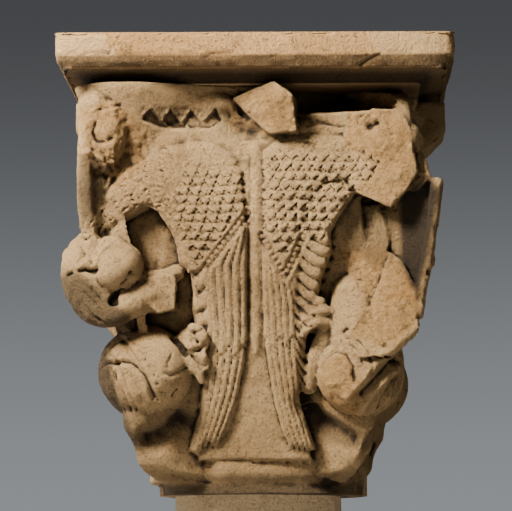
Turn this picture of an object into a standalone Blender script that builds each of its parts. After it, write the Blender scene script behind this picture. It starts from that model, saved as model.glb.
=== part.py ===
# Romanesque historiated capital: pairs of birds back to back between corner beasts,
# with its impost slab above and the head of its column shaft below.
import math

import bmesh
import bpy
import numpy as np
from mathutils import Matrix, Vector

# Driving sizes, in metres
SHAFT_DIAMETER = 0.156
SHAFT_LENGTH = 0.100
CAPITAL_WIDTH = 0.360
CAPITAL_HEIGHT = 0.366
SLAB_WIDTH = 0.360
SLAB_DEPTH = 0.360
FASCIA_HEIGHT = 0.020
CHAMFER_HEIGHT = 0.011
HOLLOW_HEIGHT = 0.011
CHAMFER_RUN = 0.007
HOLLOW_RUN = 0.024
SLAB_CORNER_RADIUS = 0.009
ARRIS_WEAR = 0.0025
BELL_OVERHANG = 0.014
ASTRAGAL_OVERHANG = 0.026
ASTRAGAL_HEIGHT = 0.027
JOINT_GAP = 0.0003

# How finely the stone is worked out
CARVING_GRAIN = 0.0032
CARVING_SOFTENING = 3
CAPITAL_TRIANGLES = 9200
BELL_SIDES = 128
BELL_COURSES = 40
ASTRAGAL_SIDES = 72
SHAFT_SIDES = 56
SLAB_CORNER_STEPS = 4
HOLLOW_STEPS = 4
BED_OVERRUN = 0.006
BED_SNAP = 0.0008

STONE_COLOUR = (0.46, 0.36, 0.25, 1.0)
SLAB_COLOUR = (0.43, 0.35, 0.25, 1.0)
SHAFT_COLOUR = (0.44, 0.36, 0.27, 1.0)

# Each stone's bed, from the ground up
CAPITAL_BASE = SHAFT_LENGTH + JOINT_GAP
CAPITAL_TOP = CAPITAL_BASE + CAPITAL_HEIGHT
SLAB_BASE = CAPITAL_TOP + JOINT_GAP

# The carving is given in shares of the capital: across a face and out from its axis
# in widths, and up in heights. A place is turned about the axis to its face or corner.
FRONT, RIGHT, BACK, LEFT = 0, 90, 180, 270
FRONT_LEFT, FRONT_RIGHT, BACK_RIGHT, BACK_LEFT = -45, 45, 135, 225
AS_DRAWN, MIRRORED = 1, -1
FRONT_SHIFT = 0.007

# The bell's radius up its height, at the middle of a face and at a corner
BELL_HEIGHTS = (0.0, 0.08, 0.15, 0.30, 0.50, 0.70, 0.85, 0.93, 1.0)
BELL_MIDDLE = (0.256, 0.256, 0.258, 0.265, 0.280, 0.300, 0.325, 0.350, 0.375)
BELL_CORNER = (0.256, 0.258, 0.265, 0.290, 0.320, 0.365, 0.450, 0.545, 0.600)
BELL_SQUARENESS = 3.0

# One bird left of the middle. A station: across, up, out, half width, half depth, half height
BIRD_BODY = (
    (-0.125, 0.820, 0.330, 0.080, 0.050, 0.050),
    (-0.130, 0.740, 0.328, 0.110, 0.072, 0.080),
    (-0.118, 0.650, 0.324, 0.100, 0.072, 0.080),
    (-0.098, 0.570, 0.316, 0.082, 0.062, 0.070),
)
BIRD_WING = (
    (-0.084, 0.600, 0.312, 0.064, 0.062, 0.050),
    (-0.064, 0.500, 0.305, 0.050, 0.052, 0.050),
    (-0.063, 0.390, 0.292, 0.046, 0.045, 0.050),
    (-0.074, 0.290, 0.278, 0.044, 0.040, 0.050),
    (-0.095, 0.200, 0.266, 0.040, 0.036, 0.040),
    (-0.120, 0.115, 0.258, 0.030, 0.026, 0.030),
)
BIRD_FRINGE = (
    (-0.165, 0.640, 0.325, 0.045, 0.045, 0.045),
    (-0.148, 0.560, 0.318, 0.040, 0.046, 0.040),
    (-0.128, 0.490, 0.308, 0.034, 0.042, 0.040),
    (-0.122, 0.400, 0.298, 0.032, 0.038, 0.040),
    (-0.124, 0.320, 0.288, 0.030, 0.036, 0.040),
    (-0.128, 0.250, 0.280, 0.022, 0.030, 0.028),
)
BIRD_NECK = (
    (-0.120, 0.740, 0.325, 0.078),
    (-0.190, 0.755, 0.335, 0.074),
    (-0.258, 0.745, 0.362, 0.062),
    (-0.322, 0.698, 0.382, 0.050),
    (-0.372, 0.635, 0.392, 0.043),
    (-0.404, 0.575, 0.385, 0.046),
)
BROKEN_NECK = (
    (-0.120, 0.745, 0.325, 0.078),
    (-0.190, 0.780, 0.340, 0.074),
    (-0.262, 0.788, 0.362, 0.064),
    (-0.325, 0.765, 0.375, 0.054),
)

# The beast's head at a corner, seen from the face left of whose middle it hangs
HEAD_SKULL = (
    (-0.408, 0.590, 0.352, 0.064),
    (-0.405, 0.500, 0.350, 0.076),
    (-0.385, 0.440, 0.345, 0.060),
)
BACK_HEAD_REACH = 0.89
HEAD_SNOUT = (-0.338, 0.550, 0.378, 0.056)
HEAD_JAW = (
    (-0.385, 0.435, 0.360, 0.052),
    (-0.335, 0.425, 0.380, 0.042),
    (-0.280, 0.440, 0.378, 0.040),
    (-0.222, 0.462, 0.350, 0.034),
)
HEAD_LIP = (
    (-0.345, 0.495, 0.370, 0.042),
    (-0.290, 0.498, 0.350, 0.036),
    (-0.215, 0.488, 0.325, 0.030),
)

# The beast below each corner, seen along the corner
BEAST_BODY = (0.0, 0.285, 0.400, 0.132, 0.112, 0.132)
BEAST_RUMP = (0.0, 0.165, 0.335, 0.095, 0.085, 0.085)
WORN_BODY = (-0.015, 0.290, 0.392, 0.125, 0.100, 0.122)
WORN_RUMP = (-0.020, 0.175, 0.315, 0.090, 0.080, 0.080)
BEAST_BACK = (
    (-0.010, 0.320, 0.400, 0.100, 0.095, 0.100),
    (-0.020, 0.400, 0.400, 0.100, 0.080, 0.090),
    (-0.030, 0.480, 0.390, 0.070, 0.065, 0.070),
)
BEAST_FOOT = (0.0, 0.060, 0.330, 0.060, 0.045, 0.045)
BEAST_CHEST = (
    (-0.365, 0.450, 0.350, 0.075),
    (-0.335, 0.550, 0.330, 0.075),
    (-0.310, 0.650, 0.318, 0.075),
    (-0.300, 0.730, 0.318, 0.070),
)
BEAST_LEG = (
    (-0.160, 0.215, 0.275, 0.036),
    (-0.148, 0.280, 0.305, 0.030),
    (-0.160, 0.350, 0.315, 0.028),
    (-0.172, 0.385, 0.322, 0.034),
)
BEAST_CLAWS = (
    ((-0.190, 0.410, 0.340, 0.022), (-0.165, 0.445, 0.362, 0.017),
     (-0.135, 0.420, 0.368, 0.014), (-0.118, 0.390, 0.360, 0.011)),
    ((-0.188, 0.395, 0.340, 0.022), (-0.160, 0.412, 0.364, 0.016),
     (-0.138, 0.392, 0.368, 0.014), (-0.118, 0.365, 0.360, 0.011)),
)

# What stands between the birds and above them
STEM = (
    (0.0, 0.900, 0.350, 0.030),
    (0.0, 0.830, 0.335, 0.024),
    (0.0, 0.720, 0.308, 0.021),
    (0.0, 0.570, 0.294, 0.019),
    (0.0, 0.420, 0.280, 0.018),
    (0.0, 0.270, 0.264, 0.017),
    (0.0, 0.170, 0.250, 0.016),
)
UPPER_LIP = (
    (-0.060, 0.890, 0.325, 0.045, 0.045, 0.045),
    (-0.160, 0.925, 0.345, 0.055, 0.050, 0.060),
    (-0.260, 0.925, 0.372, 0.055, 0.050, 0.066),
    (-0.335, 0.915, 0.392, 0.050, 0.055, 0.066),
    (-0.392, 0.895, 0.400, 0.045, 0.055, 0.055),
)
WORN_LIP = (
    (-0.060, 0.880, 0.325, 0.045, 0.045, 0.045),
    (-0.150, 0.885, 0.335, 0.050, 0.046, 0.050),
    (-0.230, 0.880, 0.352, 0.050, 0.050, 0.055),
    (-0.300, 0.865, 0.365, 0.055, 0.055, 0.060),
)
CHEEK = (
    (-0.110, 0.850, 0.322, 0.100, 0.050, 0.060),
    (-0.200, 0.860, 0.338, 0.090, 0.050, 0.070),
    (-0.290, 0.850, 0.362, 0.080, 0.050, 0.070),
    (-0.345, 0.800, 0.380, 0.060, 0.050, 0.070),
)
VOLUTE = (-0.385, 0.865, 0.398, 0.050)
CORNER_CURL = (
    (0.0, 0.820, 0.550, 0.050, 0.055, 0.050),
    (0.0, 0.880, 0.560, 0.065, 0.055, 0.050),
    (0.0, 0.945, 0.555, 0.085, 0.055, 0.060),
)
LEAF_EDGE = ((0.300, 0.380, 0.500), (0.330, 0.500, 0.570), (0.360, 0.700, 0.595), (0.400, 0.900, 0.590))
BROKEN_LEAF_EDGE = ((0.330, 0.340, 0.500), (0.330, 0.440, 0.540), (0.360, 0.600, 0.600), (0.400, 0.785, 0.650))
LEAF_HALF = 0.034

# Broken stone, as the corners of its facets: across, up, out
BOSS_BREAK = (
    (-0.115, 0.925, 0.400), (-0.060, 0.968, 0.420), (0.045, 1.010, 0.462), (0.100, 0.945, 0.462),
    (0.112, 0.870, 0.440), (0.020, 0.850, 0.425), (-0.020, 0.905, 0.430), (-0.070, 0.895, 0.350),
    (0.020, 0.840, 0.320), (0.110, 0.850, 0.330), (0.100, 1.010, 0.300), (-0.080, 0.980, 0.300),
)
VOLUTE_BREAK = (
    (0.245, 0.890, 0.400), (0.300, 0.948, 0.420), (0.375, 0.955, 0.430), (0.412, 0.920, 0.425),
    (0.420, 0.820, 0.440), (0.400, 0.700, 0.425), (0.330, 0.735, 0.420), (0.260, 0.760, 0.390),
    (0.250, 0.760, 0.290), (0.390, 0.700, 0.320), (0.430, 0.830, 0.330), (0.400, 0.955, 0.320),
    (0.260, 0.940, 0.290),
)
BACK_BEAST_BREAK = (
    (-0.095, 0.430, 0.430), (-0.060, 0.520, 0.455), (0.020, 0.560, 0.480), (0.030, 0.420, 0.525),
    (-0.080, 0.330, 0.480), (0.030, 0.330, 0.510), (0.040, 0.560, 0.400), (-0.090, 0.480, 0.370),
    (0.040, 0.320, 0.350),
)
# A whole boss: half width, then its outline up and out
BOSS_HALF_WIDTH = 0.105
BOSS_OUTLINE = ((1.010, 0.250), (1.010, 1.000), (0.925, 1.000), (0.882, 0.910), (0.862, 0.600))
BOSS_REACH = {RIGHT: 0.487, BACK: 0.490, LEFT: 0.472}

# Where the upper bed is lost: degrees from the front, height, and the radius it leaves
BED_LOSS = {"between": (12, 66), "fade": 6, "above": 0.93, "leaves": 0.285}
# Where the astragal is chipped flat: degrees from the front, and what is left of its radius
ASTRAGAL_LOSS = {"from": -125, "to": -20, "height": 0.011}
ASTRAGAL_CHIPS = ((6, 0.925), (50, 0.975), (-36, 0.965), (98, 0.985), (150, 0.965), (205, 0.98), (262, 0.975))

# Chiselled work. A wing's inner and outer edge and its fringe's outer edge, by height
WING_HEIGHTS = (0.100, 0.170, 0.245, 0.345, 0.440, 0.550, 0.650)
WING_INNER = (0.089, 0.060, 0.035, 0.025, 0.018, 0.017, 0.017)
WING_OUTER = (0.152, 0.138, 0.126, 0.108, 0.100, 0.110, 0.150)
FRINGE_OUTER = (0.168, 0.158, 0.142, 0.150, 0.162, 0.192, 0.225)
WING_TOP_INNER, WING_TOP_OUTER = 0.650, 0.560
FEATHERS, CRESCENTS = 3, 8
FEATHER_DEPTH, CRESCENT_DEPTH, RIDGE_DEPTH = 0.022, 0.020, 0.014
CRESCENT_REACH, CRESCENT_DROOP = (0.22, 0.68), 0.045
BEAST_RIDGE_REACH = (0.10, 0.42)
BEAST_RIDGE_HALF = 0.15
BEAST_RIDGE_PITCH = 0.075
RELIEF_STARTS, RELIEF_FULL = 0.012, 0.035


def clear_scene():
    for thing in list(bpy.data.objects):
        bpy.data.objects.remove(thing, do_unlink=True)


def make_material(name, colour, roughness):
    material = bpy.data.materials.new(name)
    material.use_nodes = True
    shader = material.node_tree.nodes["Principled BSDF"]
    shader.inputs["Base Color"].default_value = colour
    shader.inputs["Roughness"].default_value = roughness
    shader.inputs["Metallic"].default_value = 0.0
    return material


def make_object(name, bm, material):
    mesh = bpy.data.meshes.new(name)
    bm.to_mesh(mesh)
    bm.free()
    thing = bpy.data.objects.new(name, mesh)
    bpy.context.scene.collection.objects.link(thing)
    thing.data.materials.append(material)
    return thing


def settle_modifiers(thing):
    # The mesh as its modifiers leave it takes the mesh's place
    graph = bpy.context.evaluated_depsgraph_get()
    settled = bpy.data.meshes.new_from_object(thing.evaluated_get(graph))
    thing.modifiers.clear()
    old = thing.data
    thing.data = settled
    bpy.data.meshes.remove(old)


# Placing and laying stone

def place(turn, across, up, out):
    sideways, forwards = across * CAPITAL_WIDTH, out * CAPITAL_WIDTH
    angle = math.radians(turn)
    return Vector((
        sideways * math.cos(angle) + forwards * math.sin(angle),
        sideways * math.sin(angle) - forwards * math.cos(angle),
        CAPITAL_BASE + up * CAPITAL_HEIGHT,
    ))


def add_ball(bm, turn, row, detail=3):
    across, up, out = row[:3]
    sizes = row[3:] if len(row) == 6 else (row[3],) * 3
    grown = Matrix.Diagonal([size * CAPITAL_WIDTH for size in sizes] + [1.0])
    facing = Matrix.Rotation(math.radians(turn), 4, "Z")
    matrix = Matrix.Translation(place(turn, across, up, out)) @ facing @ grown
    bmesh.ops.create_icosphere(bm, subdivisions=detail, radius=1.0, matrix=matrix)


def smooth_way(rows):
    # Stations close together on one curve through the given ones
    rows = np.array(rows, float)
    around = np.vstack((2 * rows[0] - rows[1], rows, 2 * rows[-1] - rows[-2]))
    found = []
    for before, start, end, after in zip(around, around[1:], around[2:], around[3:]):
        reach = np.linalg.norm((end - start)[:3])
        count = max(2, math.ceil(reach / (0.4 * min(start[3], end[3]))))
        for step in range(count):
            t = step / count
            bend = (2 * start + (end - before) * t
                    + (2 * before - 5 * start + 4 * end - after) * t ** 2
                    + (3 * start - before - 3 * end + after) * t ** 3)
            found.append(bend / 2)
    found.append(rows[-1])
    return found


def append_part(bm, part):
    mesh = bpy.data.meshes.new("part")
    part.to_mesh(mesh)
    part.free()
    bm.from_mesh(mesh)
    bpy.data.meshes.remove(mesh)


def add_run(bm, turn, mirror, rows, shift=0.0):
    # A limb, lip or leaf is laid as balls close together, which the union makes one
    part = bmesh.new()
    for row in smooth_way(rows):
        row[0] = row[0] * mirror + shift
        add_ball(part, turn, tuple(row), 3 if row[3] > 0.05 else 2)
    append_part(bm, part)


def add_rock(bm, turn, corners):
    part = bmesh.new()
    for corner in corners:
        part.verts.new(place(turn, *corner))
    made = bmesh.ops.convex_hull(part, input=part.verts)
    loose = [piece for piece in made["geom_interior"] if isinstance(piece, bmesh.types.BMVert)]
    bmesh.ops.delete(part, geom=loose, context="VERTS")
    append_part(bm, part)


def add_plate(bm, turn, half, outline):
    # An upright slab along its outline, up and out, as thick as twice the half
    rock = [(side * half, up, out) for up, out in outline for side in (-1, 1)]
    add_rock(bm, turn, rock)


def leaf_outline(edge):
    return [(up, reach) for inner, up, outer in edge for reach in (inner, outer)]


# The stone's own body

def bell_radius(degrees, up):
    # The neck sits on the shaft, and the rest keeps its share of the capital's width
    neck = SHAFT_DIAMETER / 2 + BELL_OVERHANG
    middle = np.interp(up, BELL_HEIGHTS, BELL_MIDDLE)
    corner = np.interp(up, BELL_HEIGHTS, BELL_CORNER)
    square = np.abs(np.sin(np.radians(2 * degrees))) ** BELL_SQUARENESS
    share = middle + (corner - middle) * square - BELL_MIDDLE[0]
    return neck + share * CAPITAL_WIDTH


def bed_loss(degrees, up):
    # The top bed has gone between the front boss and the right corner
    start, end = BED_LOSS["between"]
    fade = BED_LOSS["fade"]
    lost = np.clip((degrees - start) / fade, 0, 1) * np.clip((end - degrees) / fade, 0, 1)
    return lost * np.clip((up - BED_LOSS["above"]) / 0.02, 0, 1)


def add_bell(bm):
    rise = (CAPITAL_HEIGHT + 2 * BED_OVERRUN) / BELL_COURSES
    foot = Matrix.Translation((0, 0, CAPITAL_BASE - BED_OVERRUN))
    ring = bmesh.ops.create_circle(bm, segments=BELL_SIDES, radius=1.0, cap_ends=False, matrix=foot)
    verts = list(ring["verts"])
    edges = list({edge for vert in verts for edge in vert.link_edges})
    for course in range(BELL_COURSES):
        grown = bmesh.ops.extrude_edge_only(bm, edges=edges)["geom"]
        edges = [part for part in grown if isinstance(part, bmesh.types.BMEdge)]
        raised = [part for part in grown if isinstance(part, bmesh.types.BMVert)]
        bmesh.ops.translate(bm, verts=raised, vec=(0, 0, rise))
        verts += raised
    for vert in verts:
        degrees = math.degrees(math.atan2(vert.co.x, -vert.co.y))
        up = (vert.co.z - CAPITAL_BASE) / CAPITAL_HEIGHT
        radius = float(bell_radius(degrees, up))
        radius += (BED_LOSS["leaves"] * CAPITAL_WIDTH - radius) * float(bed_loss(degrees, up))
        vert.co.x *= radius
        vert.co.y *= radius
    open_edges = [edge for edge in bm.edges if edge.is_boundary]
    bmesh.ops.holes_fill(bm, edges=open_edges, sides=0)


def add_astragal(bm):
    radius = SHAFT_DIAMETER / 2 + ASTRAGAL_OVERHANG
    height = ASTRAGAL_HEIGHT + BED_OVERRUN
    middle = Matrix.Translation((0, 0, CAPITAL_BASE + (ASTRAGAL_HEIGHT - BED_OVERRUN) / 2))
    band = bmesh.ops.create_cone(bm, cap_ends=True, segments=ASTRAGAL_SIDES, radius1=radius,
                                 radius2=radius, depth=height, matrix=middle)
    for vert in band["verts"]:
        degrees = math.degrees(math.atan2(vert.co.x, -vert.co.y))
        if vert.co.z < CAPITAL_BASE and ASTRAGAL_LOSS["from"] < degrees < ASTRAGAL_LOSS["to"]:
            vert.co.z += BED_OVERRUN + ASTRAGAL_LOSS["height"]
    for degrees, left in ASTRAGAL_CHIPS:
        angle = math.radians(degrees)
        way = Vector((math.sin(angle), -math.cos(angle), 0))
        for vert in band["verts"]:
            beyond = vert.co.dot(way) - radius * left
            if beyond > 0:
                vert.co -= way * beyond


# The figures

def add_bird(bm, turn, mirror, neck, shift=0.0):
    add_run(bm, turn, mirror, BIRD_BODY, shift)
    add_run(bm, turn, mirror, BIRD_WING, shift)
    add_run(bm, turn, mirror, BIRD_FRINGE, shift)
    add_run(bm, turn, mirror, neck, shift)


def add_head(bm, turn, mirror, reach=1.0):
    for rows in (HEAD_SKULL, HEAD_JAW, HEAD_LIP):
        drawn_in = [(across * reach, up, out * reach, radius) for across, up, out, radius in rows]
        add_run(bm, turn, mirror, drawn_in)
    across, up, out, radius = HEAD_SNOUT
    add_ball(bm, turn, (across * reach * mirror, up, out * reach, radius))


def add_beast(bm, corner, body, rump):
    add_ball(bm, corner, body, 4)
    add_ball(bm, corner, rump, 4)


def add_leg(bm, turn, mirror):
    add_run(bm, turn, mirror, BEAST_LEG)
    for claw in BEAST_CLAWS:
        add_run(bm, turn, mirror, claw)


def add_plain_face(bm, turn):
    for mirror in (AS_DRAWN, MIRRORED):
        add_bird(bm, turn, mirror, BIRD_NECK)
        add_leg(bm, turn, mirror)
        add_run(bm, turn, mirror, UPPER_LIP)
        across, up, out, radius = VOLUTE
        add_ball(bm, turn, (across * mirror, up, out, radius))
    add_run(bm, turn, AS_DRAWN, STEM)
    add_plate(bm, turn, BOSS_HALF_WIDTH, [(up, out * BOSS_REACH[turn]) for up, out in BOSS_OUTLINE])


def add_front(bm):
    add_bird(bm, FRONT, AS_DRAWN, BIRD_NECK, FRONT_SHIFT)
    add_bird(bm, FRONT, MIRRORED, BROKEN_NECK, FRONT_SHIFT)
    add_leg(bm, FRONT, AS_DRAWN)
    add_leg(bm, FRONT, MIRRORED)
    add_run(bm, FRONT, AS_DRAWN, UPPER_LIP)
    add_run(bm, FRONT, MIRRORED, WORN_LIP)
    add_run(bm, FRONT, AS_DRAWN, CHEEK)
    add_run(bm, FRONT, MIRRORED, CHEEK)
    add_run(bm, FRONT, MIRRORED, BEAST_CHEST)
    add_ball(bm, FRONT, VOLUTE)
    add_run(bm, FRONT, AS_DRAWN, STEM, FRONT_SHIFT)
    add_rock(bm, FRONT, BOSS_BREAK)
    add_rock(bm, FRONT, VOLUTE_BREAK)


def add_corners(bm):
    for corner in (FRONT_LEFT, BACK_RIGHT, BACK_LEFT):
        shown = corner == FRONT_LEFT
        add_beast(bm, corner, BEAST_BODY if shown else WORN_BODY, BEAST_RUMP if shown else WORN_RUMP)
        add_ball(bm, corner, BEAST_FOOT)
        add_plate(bm, corner, LEAF_HALF, leaf_outline(LEAF_EDGE))
        add_run(bm, corner, AS_DRAWN, CORNER_CURL)
    add_beast(bm, FRONT_RIGHT, WORN_BODY, WORN_RUMP)
    add_run(bm, FRONT_RIGHT, AS_DRAWN, BEAST_BACK)
    add_plate(bm, FRONT_RIGHT, LEAF_HALF, leaf_outline(BROKEN_LEAF_EDGE))
    add_rock(bm, FRONT_RIGHT, BACK_BEAST_BREAK)
    add_head(bm, FRONT, AS_DRAWN)
    add_head(bm, BACK, AS_DRAWN, BACK_HEAD_REACH)
    add_head(bm, BACK, MIRRORED, BACK_HEAD_REACH)


# Chiselled work, as a depth over the figures

def read_points(mesh):
    flat = np.empty(len(mesh.vertices) * 3)
    mesh.vertices.foreach_get("co", flat)
    return flat.reshape(-1, 3)


def write_points(mesh, points):
    mesh.vertices.foreach_set("co", points.ravel())
    mesh.update()


def read_normals(mesh):
    flat = np.empty(len(mesh.vertices) * 3)
    mesh.vertex_normals.foreach_get("vector", flat)
    return flat.reshape(-1, 3)


def shares_on(points, turn):
    angle = math.radians(turn)
    x, y, z = points.T
    across = (x * math.cos(angle) + y * math.sin(angle)) / CAPITAL_WIDTH
    out = (x * math.sin(angle) - y * math.cos(angle)) / CAPITAL_WIDTH
    return across, (z - CAPITAL_BASE) / CAPITAL_HEIGHT, out


def ramp(value, start, end):
    t = np.clip((value - start) / (end - start), 0, 1)
    return t * t * (3 - 2 * t)


def height_above_bell(points):
    degrees = np.degrees(np.arctan2(points[:, 0], -points[:, 1]))
    up = (points[:, 2] - CAPITAL_BASE) / CAPITAL_HEIGHT
    radius = np.hypot(points[:, 0], points[:, 1])
    return (radius - bell_radius(degrees, up)) / CAPITAL_WIDTH


def feather_depth(across, up):
    inner = np.interp(up, WING_HEIGHTS, WING_INNER)
    outer = np.interp(up, WING_HEIGHTS, WING_OUTER)
    t = (across - inner) / (outer - inner)
    top = WING_TOP_INNER + (WING_TOP_OUTER - WING_TOP_INNER) * np.clip(t, 0, 1)
    inside = ramp(t, -0.05, 0.05) * ramp(-t, -1.05, -0.95) * ramp(top - up, 0, 0.02) * ramp(up, 0.08, 0.12)
    return inside * FEATHER_DEPTH * (np.abs(np.sin(math.pi * FEATHERS * t)) ** 0.8 - 1)


def crescent_depth(across, up):
    spine = np.interp(up, WING_HEIGHTS, WING_OUTER)
    edge = np.interp(up, WING_HEIGHTS, FRINGE_OUTER)
    t = (across - spine) / (edge - spine)
    low, high = CRESCENT_REACH
    inside = ramp(t, 0.0, 0.12) * ramp(-t, -1.35, -1.2) * ramp(up, low, low + 0.04) * ramp(high - up, 0, 0.06)
    wave = (up + CRESCENT_DROOP * t) * CRESCENTS / (high - low)
    return inside * CRESCENT_DEPTH * (np.abs(np.sin(math.pi * wave)) - 1)


def beast_depth(across, up):
    low, high = BEAST_RIDGE_REACH
    inside = ramp(up, low, low + 0.04) * ramp(high - up, 0, 0.04)
    inside *= ramp(BEAST_RIDGE_HALF - np.abs(across), 0, 0.03)
    wave = (0.7 * np.abs(across) + 0.9 * up) / BEAST_RIDGE_PITCH
    return inside * RIDGE_DEPTH * (np.abs(np.sin(math.pi * wave)) ** 0.8 - 1)


def facing(normals, turn):
    # Only what looks out from the face is worked, not the sides of the relief
    angle = math.radians(turn)
    return ramp(normals[:, 0] * math.sin(angle) - normals[:, 1] * math.cos(angle), 0.35, 0.8)


def chisel(points, normals):
    raised = ramp(height_above_bell(points), RELIEF_STARTS, RELIEF_FULL)
    depth = np.zeros(len(points))
    for turn in (FRONT, RIGHT, BACK, LEFT):
        across, up, out = shares_on(points, turn)
        on_face = (out > np.abs(across)) * raised * facing(normals, turn)
        middle = FRONT_SHIFT if turn == FRONT else 0.0
        for mirror in (AS_DRAWN, MIRRORED):
            beside = -(across - middle) * mirror
            depth += on_face * (feather_depth(beside, up) + crescent_depth(beside, up))
    for corner in (FRONT_LEFT, FRONT_RIGHT, BACK_RIGHT, BACK_LEFT):
        across, up, out = shares_on(points, corner)
        depth += (out > np.abs(across)) * raised * facing(normals, corner) * beast_depth(across, up)
    return points + normals * (depth * CAPITAL_WIDTH)[:, None]


def cut_beds(bm):
    for height, way in ((CAPITAL_BASE, -1), (CAPITAL_TOP, 1)):
        everything = bm.verts[:] + bm.edges[:] + bm.faces[:]
        cut = bmesh.ops.bisect_plane(bm, geom=everything, plane_co=(0, 0, height),
                                     plane_no=(0, 0, way), clear_outer=True)
        rim = [part for part in cut["geom_cut"] if isinstance(part, bmesh.types.BMEdge)]
        bmesh.ops.holes_fill(bm, edges=rim, sides=0)


def lay_beds_flat(mesh):
    points = read_points(mesh)
    for height in (CAPITAL_BASE, CAPITAL_TOP):
        near = np.abs(points[:, 2] - height) < BED_SNAP
        points[near, 2] = height
    write_points(mesh, points)


def build_capital():
    bm = bmesh.new()
    add_bell(bm)
    add_astragal(bm)
    add_front(bm)
    for turn in (RIGHT, BACK, LEFT):
        add_plain_face(bm, turn)
    add_corners(bm)
    bmesh.ops.recalc_face_normals(bm, faces=bm.faces)
    material = make_material("capital_stone", STONE_COLOUR, 0.9)
    capital = make_object("capital", bm, material)
    union = capital.modifiers.new("union", "REMESH")
    union.mode = "VOXEL"
    union.voxel_size = CARVING_GRAIN
    soften = capital.modifiers.new("soften", "SMOOTH")
    soften.iterations = CARVING_SOFTENING
    soften.factor = 0.5
    settle_modifiers(capital)
    points = chisel(read_points(capital.data), read_normals(capital.data))
    write_points(capital.data, points)
    bm = bmesh.new()
    bm.from_mesh(capital.data)
    cut_beds(bm)
    bmesh.ops.triangulate(bm, faces=bm.faces)
    count = len(bm.faces)
    bm.to_mesh(capital.data)
    bm.free()
    thin = capital.modifiers.new("thin", "DECIMATE")
    thin.ratio = CAPITAL_TRIANGLES / count
    settle_modifiers(capital)
    lay_beds_flat(capital.data)
    capital.data.shade_smooth()


# The slab and the shaft

def slab_outline(inset):
    # A rectangle with rounded corners, set in from the slab's edge
    half_x, half_y = SLAB_WIDTH / 2 - inset, SLAB_DEPTH / 2 - inset
    radius = SLAB_CORNER_RADIUS
    spots = []
    for quarter, (side_x, side_y) in enumerate(((1, 1), (-1, 1), (-1, -1), (1, -1))):
        for step in range(SLAB_CORNER_STEPS + 1):
            angle = math.pi / 2 * (quarter + step / SLAB_CORNER_STEPS)
            spots.append((side_x * (half_x - radius) + radius * math.cos(angle),
                          side_y * (half_y - radius) + radius * math.sin(angle)))
    return spots


def build_slab():
    hollow_top = SLAB_BASE + HOLLOW_HEIGHT
    chamfer_top = hollow_top + CHAMFER_HEIGHT
    top = chamfer_top + FASCIA_HEIGHT
    profile = []
    for step in range(HOLLOW_STEPS + 1):
        angle = math.pi / 2 * step / HOLLOW_STEPS
        inset = CHAMFER_RUN + HOLLOW_RUN * math.cos(angle)
        profile.append((inset, SLAB_BASE + HOLLOW_HEIGHT * math.sin(angle)))
    profile += [(0.0, chamfer_top), (0.0, top - ARRIS_WEAR), (ARRIS_WEAR, top)]
    bm = bmesh.new()
    course = [bm.verts.new((x, y, SLAB_BASE)) for x, y in slab_outline(profile[0][0])]
    bottom = bm.faces.new(reversed(course))
    edges = list(bottom.edges)
    for inset, height in profile[1:]:
        grown = bmesh.ops.extrude_edge_only(bm, edges=edges)["geom"]
        edges = [part for part in grown if isinstance(part, bmesh.types.BMEdge)]
        verts = {vert for edge in edges for vert in edge.verts}
        ordered = sorted(verts, key=lambda vert: math.atan2(vert.co.y, vert.co.x))
        spots = sorted(slab_outline(inset), key=lambda spot: math.atan2(spot[1], spot[0]))
        for vert, (x, y) in zip(ordered, spots):
            vert.co = (x, y, height)
    rim = [edge for edge in bm.edges if edge.is_boundary]
    bmesh.ops.holes_fill(bm, edges=rim, sides=0)
    bmesh.ops.recalc_face_normals(bm, faces=bm.faces)
    slab = make_object("abacus", bm, make_material("abacus_stone", SLAB_COLOUR, 0.88))
    slab.data.shade_smooth()
    slab.data.set_sharp_from_angle(angle=math.radians(30))


def build_shaft():
    bm = bmesh.new()
    middle = Matrix.Translation((0, 0, SHAFT_LENGTH / 2))
    bmesh.ops.create_cone(bm, cap_ends=True, segments=SHAFT_SIDES, radius1=SHAFT_DIAMETER / 2,
                          radius2=SHAFT_DIAMETER / 2, depth=SHAFT_LENGTH, matrix=middle)
    shaft = make_object("column_shaft", bm, make_material("shaft_stone", SHAFT_COLOUR, 0.85))
    shaft.data.shade_smooth()
    shaft.data.set_sharp_from_angle(angle=math.radians(30))


clear_scene()
build_capital()
build_slab()
build_shaft()
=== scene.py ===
# Worn Romanesque capital with paired birds and corner beasts, its impost slab and its shaft's head
import math

import bmesh
import bpy
import numpy as np
from mathutils import Matrix, Vector


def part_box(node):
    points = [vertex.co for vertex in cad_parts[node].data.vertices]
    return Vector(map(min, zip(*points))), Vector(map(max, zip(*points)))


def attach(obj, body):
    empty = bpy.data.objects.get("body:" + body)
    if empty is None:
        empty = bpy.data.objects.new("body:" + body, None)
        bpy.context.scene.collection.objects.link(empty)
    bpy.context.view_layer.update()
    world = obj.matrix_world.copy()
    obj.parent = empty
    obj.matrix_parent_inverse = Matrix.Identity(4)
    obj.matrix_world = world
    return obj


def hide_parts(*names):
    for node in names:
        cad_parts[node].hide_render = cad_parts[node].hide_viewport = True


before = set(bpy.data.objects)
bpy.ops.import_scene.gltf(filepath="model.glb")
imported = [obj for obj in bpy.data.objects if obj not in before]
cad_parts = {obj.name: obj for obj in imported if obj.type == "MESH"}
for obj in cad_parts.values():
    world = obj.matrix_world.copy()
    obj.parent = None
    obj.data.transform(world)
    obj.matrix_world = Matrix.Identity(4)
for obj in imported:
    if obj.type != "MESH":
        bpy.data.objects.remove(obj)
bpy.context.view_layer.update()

capitalLow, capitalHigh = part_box("capital")
slabLow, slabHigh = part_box("abacus")
shaftLow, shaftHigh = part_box("column_shaft")

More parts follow.
